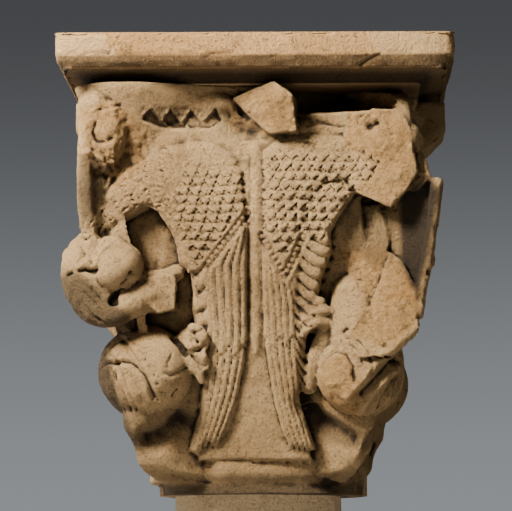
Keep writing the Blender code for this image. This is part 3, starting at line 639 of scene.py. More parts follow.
# Fine chiselling. A stroke: width in pixels, height in millimetres, then its line in pixels
chisels = {
    "depth": 1.5,
    "breakEdge": 8.0,
    "markEdge": 10.0,
    "shownBefore": -0.03,
    "leftScaleSize": (9.2, 12.0, 3.0),
    "rightScaleSize": (10.0, 10.8, 3.1),
    "neckScaleSize": (15.0, 5.6, 1.9),
    "leftScales": (
        (190, 140), (168, 146), (182, 175), (172, 215), (186, 246), (198, 268), (207, 262), (228, 236),
        (246, 213), (245, 180), (240, 162), (226, 148), (210, 140)),
    "rightScales": (
        (272, 146), (263, 165), (263, 236), (285, 273), (301, 240), (322, 240), (331, 230), (340, 214),
        (350, 200), (358, 192), (372, 178), (380, 160), (362, 146), (335, 140), (300, 138)),
    "leftNeck": (
        (168, 146), (145, 158), (124, 176), (111, 190), (97, 214), (84, 230), (76, 242), (97, 240),
        (108, 227), (125, 214), (142, 208), (152, 208), (162, 216), (174, 236), (186, 246), (176, 215),
        (184, 176)),
    "neckLine": (
        (205, 258), (190, 232), (180, 205), (166, 190), (148, 188), (124, 202), (106, 222), (90, 242)),
    "leftBand": ((247, 213), (228, 238), (207, 265)),
    "rightBand": ((262, 236), (274, 257), (285, 275), (294, 257), (303, 237)),
    "leftWing": {
        "rows": (215, 238, 265, 290, 330, 360, 391, 420, 447),
        "inner": (247, 248, 248, 248, 248, 246, 240, 230, 218),
        "outer": (243, 226, 206, 208, 211, 211, 206, 200, 193), "strips": 5, "tips": 346},
    "rightWing": {
        "rows": (238, 258, 275, 300, 345, 372, 405, 435, 450),
        "inner": (262, 262, 262, 262, 264, 268, 274, 283, 290),
        "outer": (264, 275, 288, 294, 296, 299, 303, 311, 315), "strips": 5, "tips": 337},
    "rightCrescents": {
        "rows": (235, 262, 290, 325, 360, 390), "spine": (303, 297, 293, 292, 296, 301),
        "edge": (338, 332, 322, 313, 308, 305), "pitch": 11.5, "droop": 17, "height": 2.8},
    "leftCrescents": {
        "rows": (262, 300, 346, 372), "spine": (204, 209, 210, 209), "edge": (189, 192, 193, 199),
        "pitch": 19.0, "droop": 10, "height": 3.0},
    "zigzag": (
        (140, 122), (144, 114), (151, 108), (162, 121), (171, 108), (182, 122), (191, 109), (204, 121),
        (214, 109)),
    "zigzagField": ((140, 108), (216, 107), (222, 120), (212, 128), (160, 128), (142, 120)),
    "everyFace": (
        (4.5, 0.8, ((164, 236), (161, 275))), (11.0, -8.0, ((150, 440), (166, 433), (182, 421))),
        (2.2, -2.6, ((79, 271), (86, 270), (93, 272))),
        (1.6, 1.3, ((96, 264), (99, 254), (108, 245))),
        (2.0, -1.2, ((66, 248), (72, 243), (80, 246), (84, 254), (80, 262), (72, 264))),
        (2.4, -3.4, ((132, 273), (127, 283), (119, 290), (113, 298))),
        (2.6, 1.8, ((131, 277), (129, 279))), (2.4, 1.6, ((119, 289), (117, 292))),
        (3.2, -8.0, ((112, 301), (115, 301))),
        (1.6, -1.2, ((68, 290), (80, 306), (92, 318), (110, 326), (130, 318))),
        (1.4, -0.9, ((84, 292), (96, 303), (104, 316))),
        (1.4, -0.9, ((92, 288), (101, 299), (107, 312))),
        (1.4, -0.9, ((76, 296), (88, 310), (98, 322))),
        (2.0, -1.6, ((123, 339), (131, 350), (139, 362), (148, 379), (158, 401))),
        (2.2, -2.6, ((112, 363), (120, 361), (129, 362), (137, 368), (143, 375), (149, 387), (154, 399))),
        (6.0, -1.6, ((125, 374), (136, 386), (142, 400))),
        (2.0, -1.6, ((97, 345), (110, 370), (121, 393), (131, 411))),
        (2.0, -1.6, ((95, 358), (106, 382), (117, 405))),
        (2.0, -1.4, ((104, 342), (117, 366), (127, 392), (136, 410))),
        (1.8, -1.2, ((118, 336), (128, 352), (136, 366))), (1.6, -1.8, ((173, 397), (178, 390))),
        (1.6, -1.0, ((164, 373), (172, 376), (181, 371), (187, 368))),
        (1.6, -0.8, ((172, 354), (167, 368))), (3.0, -3.0, ((193, 352), (206, 346))),
        (2.4, -2.6, ((172, 336), (180, 345), (186, 354)))),
    "dots": (
        (129, 338), (134, 343), (140, 350), (145, 359), (149, 366), (154, 375), (157, 384), (162, 393)),
    "rightOnly": (
        (9.0, -7.0, ((306, 404), (318, 419), (336, 431), (352, 441))),
        (2.0, -1.8, ((320, 368), (325, 357), (335, 351), (346, 354), (353, 366), (354, 380))),
        (1.6, -1.1, ((346, 338), (358, 340), (367, 350), (371, 362), (370, 374))),
        (1.4, -0.7, ((350, 344), (358, 350), (362, 362))),
        (5.5, 3.6, ((418, 326), (398, 343), (372, 367), (348, 396))),
        (3.2, -2.8, ((412, 345), (388, 366), (362, 394))),
        (4.0, 3.0, ((412, 357), (392, 372), (372, 392), (358, 414))),
        (2.2, -2.4, ((404, 372), (394, 382), (384, 398), (378, 410))),
        (2.2, 1.6, ((408, 374), (397, 390), (388, 404))), (1.8, -1.4, ((402, 385), (392, 400))),
        (1.8, 1.4, ((360, 121), (378, 106))), (4.0, -2.8, ((368, 127), (376, 124))),
        (1.8, 1.2, ((304, 129), (325, 127), (342, 130))), (2.0, -1.6, ((343, 332), (347, 329)))),
    "leftOnly": (
        (1.8, -1.8, ((96, 122), (93, 132), (97, 141), (106, 142), (112, 138))),
        (4.5, 1.2, ((103, 130), (105, 133))), (1.6, -1.2, ((100, 110), (110, 106), (120, 105))),
        (2.4, 1.8, ((89, 152), (102, 160), (110, 176), (107, 188)))),
    "crevice": (
        (8.0, -3.6, ((146, 481), (200, 485), (256, 486), (320, 485), (366, 482))),
        (8.0, -3.6, ((224, 116), (236, 122), (248, 130))), (4.0, -2.0, ((232, 112), (246, 116)))),
}
# Where old breaks left rough stone: pixels on the front
breaks = (
    ((222, 108), (250, 90), (274, 80), (296, 92), (298, 134), (262, 136), (232, 130)),
    ((348, 110), (400, 104), (416, 150), (412, 178), (396, 215), (352, 196), (372, 165), (345, 145)),
    ((80, 110), (110, 96), (150, 130), (145, 165), (118, 188), (84, 170)),
    ((338, 250), (390, 246), (420, 290), (418, 330), (392, 352), (350, 335), (368, 304)),
    ((322, 360), (345, 352), (362, 380), (358, 418), (318, 405)),
)


# Brown dirt and painted shade, as pixels on the front, and how much of it: the shaded underside of the jaw
# and head, the leaf and niche in shadow, the astragal's underside and the shaft in its shadow
grimeAndShade = (
    (0.4, ((338, 196), (392, 204), (400, 250), (380, 272), (345, 240))),
    (0.95, ((398, 196), (430, 176), (440, 190), (430, 250), (418, 300), (400, 262))),
    (0.65, ((80, 155), (112, 165), (108, 185), (96, 212), (82, 228), (76, 190))),
    (0.82, ((76, 325), (104, 334), (118, 395), (146, 455), (112, 440), (80, 390))),
    (0.74, ((46, 276), (78, 272), (100, 290), (130, 316), (140, 332), (88, 336), (46, 304))),
    (0.45, ((116, 404), (150, 412), (194, 398), (190, 424), (158, 450), (136, 450))),
    (0.45, ((300, 398), (326, 412), (356, 428), (372, 450), (330, 444), (304, 424))),
    (0.4, ((136, 470), (200, 474), (366, 470), (374, 484), (136, 484))),
    (0.82, ((136, 484), (374, 482), (374, 506), (136, 506))),
    (0.3, ((200, 108), (216, 107), (256, 112), (258, 136), (226, 138))),
    (0.3, ((140, 107), (217, 107), (210, 118), (150, 121))),
)


def seenAt(points, turn):
    # The pixel that would show each point if this face were the front
    angle = math.radians(-turn)
    x, y, z = points.T
    spots = np.stack((x * math.cos(angle) - y * math.sin(angle),
                      x * math.sin(angle) + y * math.cos(angle), z), 1)
    away = spots - np.array(view["place"])
    depth = away @ np.array(view["ahead"])
    return (view["middle"][0] + view["focal"] * (away @ np.array(view["across"])) / depth,
            view["middle"][1] - view["focal"] * (away @ np.array(view["upward"])) / depth)


def sharesOn(points, turn):
    # Across a face, and out from the middle of the stone
    angle = math.radians(turn)
    x, y = points.T[:2]
    across = (x * math.cos(angle) + y * math.sin(angle)) / stone["width"]
    out = (x * math.sin(angle) - y * math.cos(angle)) / stone["width"]
    return across, out


def roughness(points, size, octaves, seed):
    # Smooth random values from -1 to 1 on a repeating lattice
    lattice = np.random.default_rng(seed).random((48, 48, 48)) * 2 - 1
    total = np.zeros(len(points))
    weight, weights = 1.0, 0.0
    for octave in range(octaves):
        spots = points / size * 2 ** octave + 7.3 * octave
        low = np.floor(spots).astype(int)
        part = spots - low
        part = part * part * (3 - 2 * part)
        found = np.zeros(len(points))
        for corner in range(8):
            bits = np.array([corner & 1, corner >> 1 & 1, corner >> 2 & 1])
            share = np.prod(np.where(bits, part, 1 - part), axis=1)
            place = (low + bits) % 48
            found += share * lattice[place[:, 0], place[:, 1], place[:, 2]]
        total += found * weight
        weights += weight
        weight *= 0.55
    return total / weights


def softInside(x, y, outline, edge=3.0):
    found = np.zeros(np.shape(x))
    low = np.min(outline, axis=0) - edge
    high = np.max(outline, axis=0) + edge
    near = (x > low[0]) & (x < high[0]) & (y > low[1]) & (y < high[1])
    if near.any():
        gap = distanceTo(x[near], y[near], closed(outline))[0]
        signed = np.where(insideOf(x[near], y[near], outline), gap, -gap)
        found[near] = ramp(signed, -edge / 2, edge / 2)
    return found


def strokesOver(x, y, strokes):
    height = np.zeros(np.shape(x))
    for width, rise, line in strokes:
        low, high = np.min(line, axis=0) - 3 * width, np.max(line, axis=0) + 3 * width
        near = (x > low[0]) & (x < high[0]) & (y > low[1]) & (y < high[1])
        if near.any():
            gap = distanceTo(x[near], y[near], line)[0]
            height[near] += chisels["depth"] * rise * np.exp(-(gap / width) ** 2)
    return height


def scalesOver(along, beside, length, breadth, rise):
    # Overlapping scales: each rises to its rounded tip and drops to the next row
    row = np.floor(along / length)
    t = along / length - row
    s = 2 * ((beside / breadth + 0.5 * (row % 2)) % 1.0) - 1
    edge = 1 - 0.7 * s * s
    own = t <= edge
    local = np.where(own, t / edge, 0.35 * (t - edge) / (1.001 - edge))
    groove = np.exp(-((t - edge) / 0.17) ** 2)
    return rise * (local ** 1.3 - 0.5 - 0.3 * groove)


def bandOver(x, y, line):
    low, high = np.min(line, axis=0) - 9, np.max(line, axis=0) + 9
    near = (x > low[0]) & (x < high[0]) & (y > low[1]) & (y < high[1])
    height, inside = np.zeros(np.shape(x)), np.zeros(np.shape(x))
    if near.any():
        gap, along = distanceTo(x[near], y[near], line)[:2]
        rails = np.exp(-((gap - 5.2) / 1.4) ** 2)
        beads = np.exp(-(gap / 2.3) ** 2) * (0.5 + 0.5 * np.cos(2 * math.pi * along / 6.2))
        height[near] = 1.6 * rails + 2.2 * beads - 1.3 * ramp(-gap, -6.5, -5.5)
        inside[near] = ramp(-gap, -7.0, -6.0)
    return height, inside


def wingOver(x, y, wing):
    inner = np.interp(y, wing["rows"], wing["inner"])
    outer = np.interp(y, wing["rows"], wing["outer"])
    t = (x - inner) / (outer - inner)
    top, foot = wing["rows"][0], wing["rows"][-1]
    inside = ramp(t, -0.02, 0.05) * ramp(-t, -1.02, -0.95) * ramp(y, top, top + 12)
    inside *= ramp(-y, -foot - 4, -foot)
    strips = wing["strips"] * t
    middle = np.abs(strips % 1.0 - 0.5) * 2
    quills = np.exp(-((1 - middle) / 0.26) ** 2)
    tip = wing["tips"] + 9 * (np.floor(strips) % 2) + 7 * middle ** 2
    step = np.exp(-((y - tip) / 2.2) ** 2)
    shed = 0.8 * ramp(y, tip - 2, tip + 1)
    height = inside * (0.9 * (1 - middle ** 2) - 0.75 * quills - 1.1 * step - shed + 0.2)
    return height, inside, y / 3.4 + 1.1 * middle


def crescentsOver(x, y, rows):
    spine = np.interp(y, rows["rows"], rows["spine"])
    edge = np.interp(y, rows["rows"], rows["edge"])
    t = (x - spine) / (edge - spine)
    inside = ramp(t, 0.02, 0.2) * ramp(-t, -1.06, -0.98)
    top, foot = rows["rows"][0], rows["rows"][-1]
    inside *= ramp(y, top, top + 6) * ramp(-y, -foot, 6 - foot)
    sweep = rows["droop"] * (1 - (1 - np.clip(t, 0, 1)) ** 2)
    wave = np.abs(np.sin(math.pi * (y - sweep) / rows["pitch"]))
    return inside * rows["height"] * (wave ** 0.75 - 0.85)


def leftWork(x, y, worn):
    # The left bird and beast, which the hidden faces repeat
    jitter = 1.6 * worn
    body = softInside(x, y, chisels["leftScales"])
    skew = x - 0.25 * y + 2.2 * np.sin(y / 13)
    height = body * ramp(y, 150, 182) * scalesOver(y + jitter, skew - jitter, *chisels["leftScaleSize"])
    neck = softInside(x, y, chisels["leftNeck"]) * (1 - body)
    near = neck > 0
    gap, along, side = distanceTo(x[near], y[near], chisels["neckLine"])
    beside = gap * side + 40 + jitter[near]
    height[near] += neck[near] * scalesOver(along, beside, *chisels["neckScaleSize"])
    band, inBand = bandOver(x, y, chisels["leftBand"])
    feathers, inWing, phase = wingOver(x, y, chisels["leftWing"])
    height = height * (1 - inBand) * (1 - inWing) + band + feathers * (1 - inBand)
    height += crescentsOver(x, y, chisels["leftCrescents"])
    height += strokesOver(x, y, chisels["everyFace"])
    for dot in chisels["dots"]:
        height -= 1.5 * np.exp(-((x - dot[0]) ** 2 + (y - dot[1]) ** 2) / 3.2)
    field = softInside(x, y, chisels["zigzagField"], 2.0)
    near = field > 0
    gap, along, side = distanceTo(x[near], y[near], chisels["zigzag"])
    height[near] += field[near] * (1.8 * np.exp(-(gap / 1.4) ** 2) - np.where(side > 0, 0.6, 2.8))
    return height, inWing, phase


def rightWork(x, y, worn):
    jitter = 1.8 * worn
    body = softInside(x, y, chisels["rightScales"])
    skew = x + 0.2 * y + 2.2 * np.sin(y / 11)
    height = body * ramp(y, 138, 165) * scalesOver(y + jitter, skew - jitter, *chisels["rightScaleSize"])
    band, inBand = bandOver(x, y, chisels["rightBand"])
    feathers, inWing, phase = wingOver(x, y, chisels["rightWing"])
    height = height * (1 - inBand) * (1 - inWing) + band + feathers * (1 - inBand)
    height += crescentsOver(x, y, chisels["rightCrescents"])
    return height + strokesOver(x, y, chisels["rightOnly"]), inWing, phase


def chisel(mesh):
    points, normals = readPoints(mesh), readNormals(mesh)
    height = np.zeros(len(points))
    plume, phase, rough = np.zeros(len(points)), np.zeros(len(points)), np.zeros(len(points))
    worn = roughness(points, 0.011, 3, 1)
    drift = roughness(points, 0.034, 2, 9)
    for turn in (front, right, back, left):
        angle = math.radians(turn)
        across, out = sharesOn(points, turn)
        outward = normals[:, 0] * math.sin(angle) - normals[:, 1] * math.cos(angle)
        facing = ramp(outward, 0.15, 0.6) * ramp(out - np.abs(across), -0.06, 0.0)
        chosen = np.nonzero(facing > 0)[0]
        x, y = seenAt(points[chosen], turn)
        x0 = panels["middle"]
        sides = [(x < x0, x, leftWork), (x >= x0, 2 * x0 - x, leftWork)]
        if turn == front:
            sides[1] = (x >= x0, x, rightWork)
        for half, seenX, work in sides:
            rows = chosen[half]
            found, inWing, waves = work(seenX[half], y[half], worn[rows] + 1.8 * drift[rows])
            height[rows] += found * facing[rows]
            plume[rows] = np.maximum(plume[rows], inWing * facing[rows])
            phase[rows] = np.where(inWing > 0.5, waves, phase[rows])
        if turn == front:
            extra = strokesOver(x, y, chisels["leftOnly"]) + strokesOver(x, y, chisels["crevice"])
            height[chosen] += extra * facing[chosen]
            for outline in breaks:
                found = softInside(x, y, outline, chisels["breakEdge"]) * facing[chosen]
                rough[chosen] = np.maximum(rough[chosen], found)
    print("strokes laid")
    lumps = roughness(points, 0.02, 3, 2)
    shards = np.abs(roughness(points, 0.009, 3, 3))
    pits = roughness(points, 0.0075, 2, 4)
    height += 0.8 * lumps + 0.35 * worn + 0.45 * pits
    height += rough * (3.0 * (shards - 0.3) + 0.9 * worn)
    writePoints(mesh, points + normals * (height * 0.001)[:, None])
    writeMark(mesh, "plume", plume)
    writeMark(mesh, "phase", phase)


def soilAndShade(mesh):
    # Old dirt and painted shade, and fresh breaks, on the shown face, as shares from none to full
    points = readPoints(mesh)
    shown = points[:, 1] < chisels["shownBefore"]
    x, y = seenAt(points[shown], front)
    for name, spots in (("grimeAndShade", grimeAndShade), ("broken", [(1.0, outline) for outline in breaks])):
        found = np.zeros(len(points))
        for share, outline in spots:
            found[shown] = np.maximum(found[shown], share * softInside(x, y, outline, chisels["markEdge"]))
        writeMark(mesh, name, found)


def thinOut(capital):
    # The sides and back are thinned further than the front
    points = readPoints(capital.data)
    shown = -points[:, 1] > np.abs(points[:, 0]) - 0.03
    corners = np.empty(len(capital.data.loops), int)
    capital.data.loops.foreach_get("vertex_index", corners)
    count = len(capital.data.polygons)
    shownFaces = int(shown[corners.reshape(-1, 3)].any(axis=1).sum())
    aim = min(shownFaces + stone["hiddenFaces"], count)
    for kept, target in ((shown, aim), (~shown, min(stone["faces"], aim))):
        before = len(capital.data.polygons)
        if target >= before:
            continue
        if len(kept) != len(capital.data.vertices):
            points = readPoints(capital.data)
            kept = -points[:, 1] <= np.abs(points[:, 0]) - 0.03
        capital.vertex_groups.clear()
        group = capital.vertex_groups.new(name="thinned")
        group.add([int(i) for i in np.nonzero(~kept)[0]], 1.0, "REPLACE")
        thin = capital.modifiers.new("thin", "DECIMATE")
        thin.ratio = target / before
        thin.vertex_group = group.name
        settleModifiers(capital)
        print("thinned", before, "to", len(capital.data.polygons))
    capital.vertex_groups.clear()


def carveCapital():
    bm = bmesh.new()
    addBell(bm)
    addAstragal(bm)
    bmesh.ops.recalc_face_normals(bm, faces=bm.faces)
    addFront(bm)
    for turn in (right, back, left):
        addPlainFace(bm, turn)
    addCorners(bm)
    capital = finishObject("carvedCapital", bm)
    union = capital.modifiers.new("union", "REMESH")
    union.mode = "VOXEL"
    union.voxel_size = stone["grain"]
    soften = capital.modifiers.new("soften", "SMOOTH")
    soften.iterations = stone["softening"]
    soften.factor = 0.5
    settleModifiers(capital)
    print("union", len(capital.data.vertices))
    chisel(capital.data)
    bm = bmesh.new()
    bm.from_mesh(capital.data)
    cutBeds(bm)
    bmesh.ops.triangulate(bm, faces=bm.faces)
    bm.to_mesh(capital.data)
    bm.free()
    thinOut(capital)
    layBedsFlat(capital.data)
    soilAndShade(capital.data)
    # How far each place lies below its neighbours, finely and broadly; the finish darkens hollows with dirt
    # and painted shade by these
    writeMark(capital.data, "hollow", hollowness(capital.data, 10))
    writeMark(capital.data, "recess", hollowness(capital.data, 120))
    capital.data.shade_smooth()
    print("capital", len(capital.data.polygons))
    return capital


# The slab: a fascia, a chamfer and a hollow, over the whole capital
slab = {
    "half": (slabHigh[0] - slabLow[0]) / 2,
    "base": slabLow[2],
    "top": slabHigh[2],
    "fascia": 0.02,
    "chamfer": (0.007, 0.011),      # run and height
    "hollow": (0.024, 0.011),
    "cornerRadius": 0.009,
    "cuts": 200,
    "step": 0.0018,
    "topBorder": (0.0012, 0.004, 0.012, 0.03),
    "cracks": ((1.3, -0.9, ((336, 78), (349, 70), (360, 66), (374, 57), (380, 54))),
               (1.2, -0.7, ((108, 54), (113, 46), (120, 36))),
               (1.2, -0.6, ((366, 34), (372, 44), (380, 54)))),
    "patches": (-0.128, 0.106),
}


def drawnIn(verts, inset, before):
    # The outline moves in, its rounded corners as they are
    inner = slab["half"] - slab["cornerRadius"]
    was, now = inner - before, inner - inset
    for vert in verts:
        for axis in (0, 1):
            value = vert.co[axis]
            if abs(value) <= was + 1e-6:
                vert.co[axis] = value * now / was
            else:
                vert.co[axis] = math.copysign(abs(value) - was + now, value)


def slabProfile():
    # Inset and height, from the lower bed to the top
    run, rise = slab["hollow"]
    hollowTop = slab["base"] + rise
    fasciaFoot = slab["top"] - slab["fascia"]
    corners = []
    for step in range(7):
        angle = math.pi / 2 * step / 6
        corners.append((slab["chamfer"][0] + run * math.cos(angle), slab["base"] + rise * math.sin(angle)))
    corners += [(slab["chamfer"][0], hollowTop), (0.0, fasciaFoot), (0.0, slab["top"] - 0.001)]
    corners.append((0.001, slab["top"]))
    corners += [(inset, slab["top"]) for inset in slab["topBorder"]]
    found = [corners[0]]
    for (inset, height), (nextInset, nextHeight) in zip(corners, corners[1:]):
        reach = math.hypot(nextInset - inset, nextHeight - height)
        pieces = max(1, round(reach / slab["step"])) if height < slab["top"] else 1
        for piece in range(1, pieces + 1):
            share = piece / pieces
            found.append((inset + (nextInset - inset) * share, height + (nextHeight - height) * share))
    return [spot for spot, after in zip(found, found[1:] + [None]) if spot != after]


def wearSlab(mesh):
    # Arrises chipped and corners worn, never outwards
    points, normals = readPoints(mesh), readNormals(mesh)
    side = np.maximum(np.abs(points[:, 0]), np.abs(points[:, 1]))
    corner = ramp(np.minimum(np.abs(points[:, 0]), np.abs(points[:, 1])), slab["half"] - 0.03, slab["half"])
    lost = np.zeros(len(points))
    chips = np.clip(roughness(points, 0.022, 3, 5) - 0.02, 0, 1)
    for height, depth in ((slab["top"], 0.0045), (slab["top"] - slab["fascia"], 0.005),
                          (slab["base"] + slab["hollow"][1], 0.004)):
        close = np.exp(-((points[:, 2] - height) / 0.0026) ** 2) * (side > slab["half"] - 0.012)
        lost += close * chips * depth
    lost += corner * 0.0022 * (1 + roughness(points, 0.015, 3, 6))
    lost += 0.00045 * (1 + roughness(points, 0.01, 3, 7))
    x, y = seenAt(points, front)
    shown = normals[:, 1] < -0.2
    strokes = -0.001 * strokesOver(x, y, slab["cracks"]) * shown
    free = (points[:, 2] > slab["base"] + 0.0008) & (side > slab["half"] - 0.034)
    flat = (normals[:, 2] > 0.99) | (points[:, 2] > slab["top"] - 0.0002) & (side < slab["half"] - 0.002)
    move = (lost + strokes) * free * ~flat
    writePoints(mesh, points - normals * move[:, None])


def cutSlab():
    bm = bmesh.new()
    bmesh.ops.create_grid(bm, x_segments=1, y_segments=1, size=slab["half"])
    bmesh.ops.bevel(bm, geom=bm.verts[:], offset=slab["cornerRadius"], segments=8, affect="VERTICES",
                    profile=0.5, material=-1)
    bmesh.ops.delete(bm, geom=bm.faces[:], context="FACES_ONLY")
    long = [edge for edge in bm.edges if edge.calc_length() > slab["half"]]
    bmesh.ops.subdivide_edges(bm, edges=long, cuts=slab["cuts"])
    profile = slabProfile()
    before = profile[0][0]
    drawnIn(bm.verts, before, 0.0)
    for vert in bm.verts:
        vert.co.z = profile[0][1]
    edges = bm.edges[:]
    bmesh.ops.edgeloop_fill(bm, edges=edges)
    for inset, height in profile[1:]:
        edges, raised = extrudeRing(bm, edges)
        drawnIn(raised, inset, before)
        for vert in raised:
            vert.co.z = height
        before = inset
    bmesh.ops.edgeloop_fill(bm, edges=edges)
    bmesh.ops.recalc_face_normals(bm, faces=bm.faces)
    piece = finishObject("impostSlab", bm)
    piece.data.shade_smooth()
    wearSlab(piece.data)
    writeMark(piece.data, "hollow", hollowness(piece.data, 6))
    print("slab", len(piece.data.polygons))
    return piece


# The shaft's head, cut off flat below
shaft = {
    "radius": (shaftHigh[0] - shaftLow[0]) / 2,
    "sides": 240,
    "rings": 50,
}


def turnShaft():
    bm = bmesh.new()
    length = shaftHigh[2] - shaftLow[2]
    bmesh.ops.create_circle(bm, segments=shaft["sides"], radius=shaft["radius"], cap_ends=True,
                            matrix=Matrix.Translation((0, 0, shaftLow[2])))
    edges = bm.edges[:]
    for ring in range(shaft["rings"]):
        edges, raised = extrudeRing(bm, edges)
        bmesh.ops.translate(bm, verts=raised, vec=(0, 0, length / shaft["rings"]))
    bmesh.ops.edgeloop_fill(bm, edges=edges)
    bmesh.ops.recalc_face_normals(bm, faces=bm.faces)
    piece = finishObject("shaftHead", bm)
    points = readPoints(piece.data)
    worn = 1 - 0.0006 * (1 + roughness(points, 0.016, 4, 8)) / shaft["radius"]
    points[:, :2] *= worn[:, None]
    writePoints(piece.data, points)
    writeMark(piece.data, "hollow", np.zeros(len(points)))
    piece.data.shade_smooth()
    piece.data.set_sharp_from_angle(angle=math.radians(35))
    print("shaft", len(piece.data.polygons))
    return piece


# Finishes. A look's colours run from the darkest hollows, painted with shade and dirt, to worn edges
looks = {
    # The carved stone also has a near-black for dirt and painted shade laid on parts of the shown face
    "carvedStone": {
        "darkShadeAndDirt": (0.014, 0.008, 0.003), "dull": (0.11, 0.064, 0.025), "body": (0.295, 0.186, 0.084),
        "bright": (0.43, 0.288, 0.138), "ochre": (0.27, 0.134, 0.034), "grimeAndShade": (0.012, 0.007, 0.003),
        "roughness": 0.93},
    "slabStone": {
        "darkShadeAndDirt": (0.016, 0.009, 0.003), "dull": (0.088, 0.05, 0.019), "body": (0.36, 0.202, 0.078),
        "bright": (0.44, 0.262, 0.112), "ochre": (0.25, 0.126, 0.036), "roughness": 0.92,
        "patch": (0.44, 0.292, 0.142), "speck": (0.33, 0.24, 0.13)},
    "shaftStone": {
        "darkShadeAndDirt": (0.03, 0.02, 0.01), "dull": (0.26, 0.18, 0.096), "body": (0.6, 0.44, 0.255),
        "bright": (0.7, 0.53, 0.325), "ochre": (0.42, 0.27, 0.12), "roughness": 0.9},
}


def addNode(tree, kind, inputs=None, **settings):
    node = tree.nodes.new(kind)
    for key, value in settings.items():
        setattr(node, key, value)
    for key, value in (inputs or {}).items():
        if isinstance(value, bpy.types.NodeSocket):
            tree.links.new(value, node.inputs[key])
        else:
            node.inputs[key].default_value = value
    return node


def mixColour(tree, share, under, over):
    node = addNode(tree, "ShaderNodeMix", data_type="RGBA")
    for socket, value in ((node.inputs[0], share), (node.inputs[6], under), (node.inputs[7], over)):
        if isinstance(value, bpy.types.NodeSocket):
            tree.links.new(value, socket)
        elif isinstance(value, tuple):
            socket.default_value = (*value, 1.0)
        else:
            socket.default_value = value
    return node.outputs[2]


def spread(tree, value, low, high, start=0.0, end=1.0):
    node = addNode(tree, "ShaderNodeMapRange", {0: value, 1: low, 2: high, 3: start, 4: end},
                   interpolation_type="SMOOTHSTEP")
    return node.outputs[0]


def noiseAt(tree, place, scale, detail=6.0, roughness=0.6):
    node = addNode(tree, "ShaderNodeTexNoise", {"Vector": place, "Scale": scale, "Detail": detail,
                                                "Roughness": roughness})
    return node.outputs[0]


def mark(tree, name):
    node = addNode(tree, "ShaderNodeAttribute", attribute_name=name, attribute_type="GEOMETRY")
    return node.outputs["Fac"]


def sumOf(tree, *values):
    total = values[0]
    for value in values[1:]:
        total = addNode(tree, "ShaderNodeMath", {0: total, 1: value}, operation="ADD").outputs[0]
    return total


def times(tree, value, factor):
    return addNode(tree, "ShaderNodeMath", {0: value, 1: factor}, operation="MULTIPLY").outputs[0]


def stoneFinish(name):
    look = looks[name]
    material = bpy.data.materials.new(name)
    material.use_nodes = True
    tree = material.node_tree
    shader = tree.nodes["Principled BSDF"]
    shader.inputs["Roughness"].default_value = look["roughness"]
    shader.inputs["Specular IOR Level"].default_value = 0.25
    place = addNode(tree, "ShaderNodeTexCoord").outputs["Object"]
    clouds = noiseAt(tree, place, 9.0, 5.0, 0.55)
    blotches = noiseAt(tree, place, 34.0, 6.0, 0.65)
    grain = noiseAt(tree, place, 420.0, 4.0, 0.7)
    fine = noiseAt(tree, place, 1500.0, 2.0, 0.6)
    colour = mixColour(tree, spread(tree, clouds, 0.35, 0.65), look["body"], look["bright"])
    colour = mixColour(tree, spread(tree, blotches, 0.52, 0.72, 0.0, 0.55), colour, look["dull"])
    stain = spread(tree, noiseAt(tree, place, 16.0, 7.0, 0.7), 0.55, 0.72, 0.0, 0.5)
    colour = mixColour(tree, stain, colour, look["ochre"])
    colour = mixColour(tree, spread(tree, grain, 0.5, 0.68, 0.0, 0.8), colour, look["dull"])
    colour = mixColour(tree, spread(tree, grain, 0.44, 0.3, 0.0, 0.7), colour, look["bright"])
    hollow = mark(tree, "hollow")
    if name == "carvedStone":
        broken = spread(tree, mark(tree, "broken"), 0.2, 0.9, 0.0, 0.45)
        colour = mixColour(tree, broken, colour, look["ochre"])
        # Broad recesses darkened towards near black: painted shade, with some dirt
        recess = spread(tree, mark(tree, "recess"), 0.001, 0.0075, 0.0, 0.85)
        colour = mixColour(tree, recess, colour, look["darkShadeAndDirt"])
    if name == "slabStone":
        colour = patchAndShadeSlab(tree, place, colour, look, grain, blotches)
    # Creases and pits darkened towards near black with dirt and painted shade; ridges lightened as worn edges
    colour = mixColour(tree, spread(tree, hollow, 0.00012, 0.0011, 0.0, 0.92), colour, look["darkShadeAndDirt"])
    colour = mixColour(tree, spread(tree, hollow, -0.00015, -0.0011, 0.0, 0.55), colour, look["bright"])
    # Dirt and painted shade, near black, laid on the parts of the shown face that lie in shadow
    if name == "carvedStone":
        colour = mixColour(tree, mark(tree, "grimeAndShade"), colour, look["grimeAndShade"])
    tree.links.new(colour, shader.inputs["Base Color"])
    pocks = noiseAt(tree, place, 190.0, 6.0, 0.75)
    height = sumOf(tree, times(tree, pocks, 1.7 if name == "carvedStone" else 0.9), times(tree, grain, 0.8),
                   times(tree, fine, 0.3))
    if name == "carvedStone":
        wave = addNode(tree, "ShaderNodeMath", {0: times(tree, mark(tree, "phase"), 2 * math.pi)},
                       operation="SINE").outputs[0]
        barbs = times(tree, wave, mark(tree, "plume"))
        height = sumOf(tree, height, times(tree, barbs, 0.06))
    bump = addNode(tree, "ShaderNodeBump", {"Height": height, "Strength": 1.0, "Distance": 0.005})
    tree.links.new(bump.outputs["Normal"], shader.inputs["Normal"])
    return material


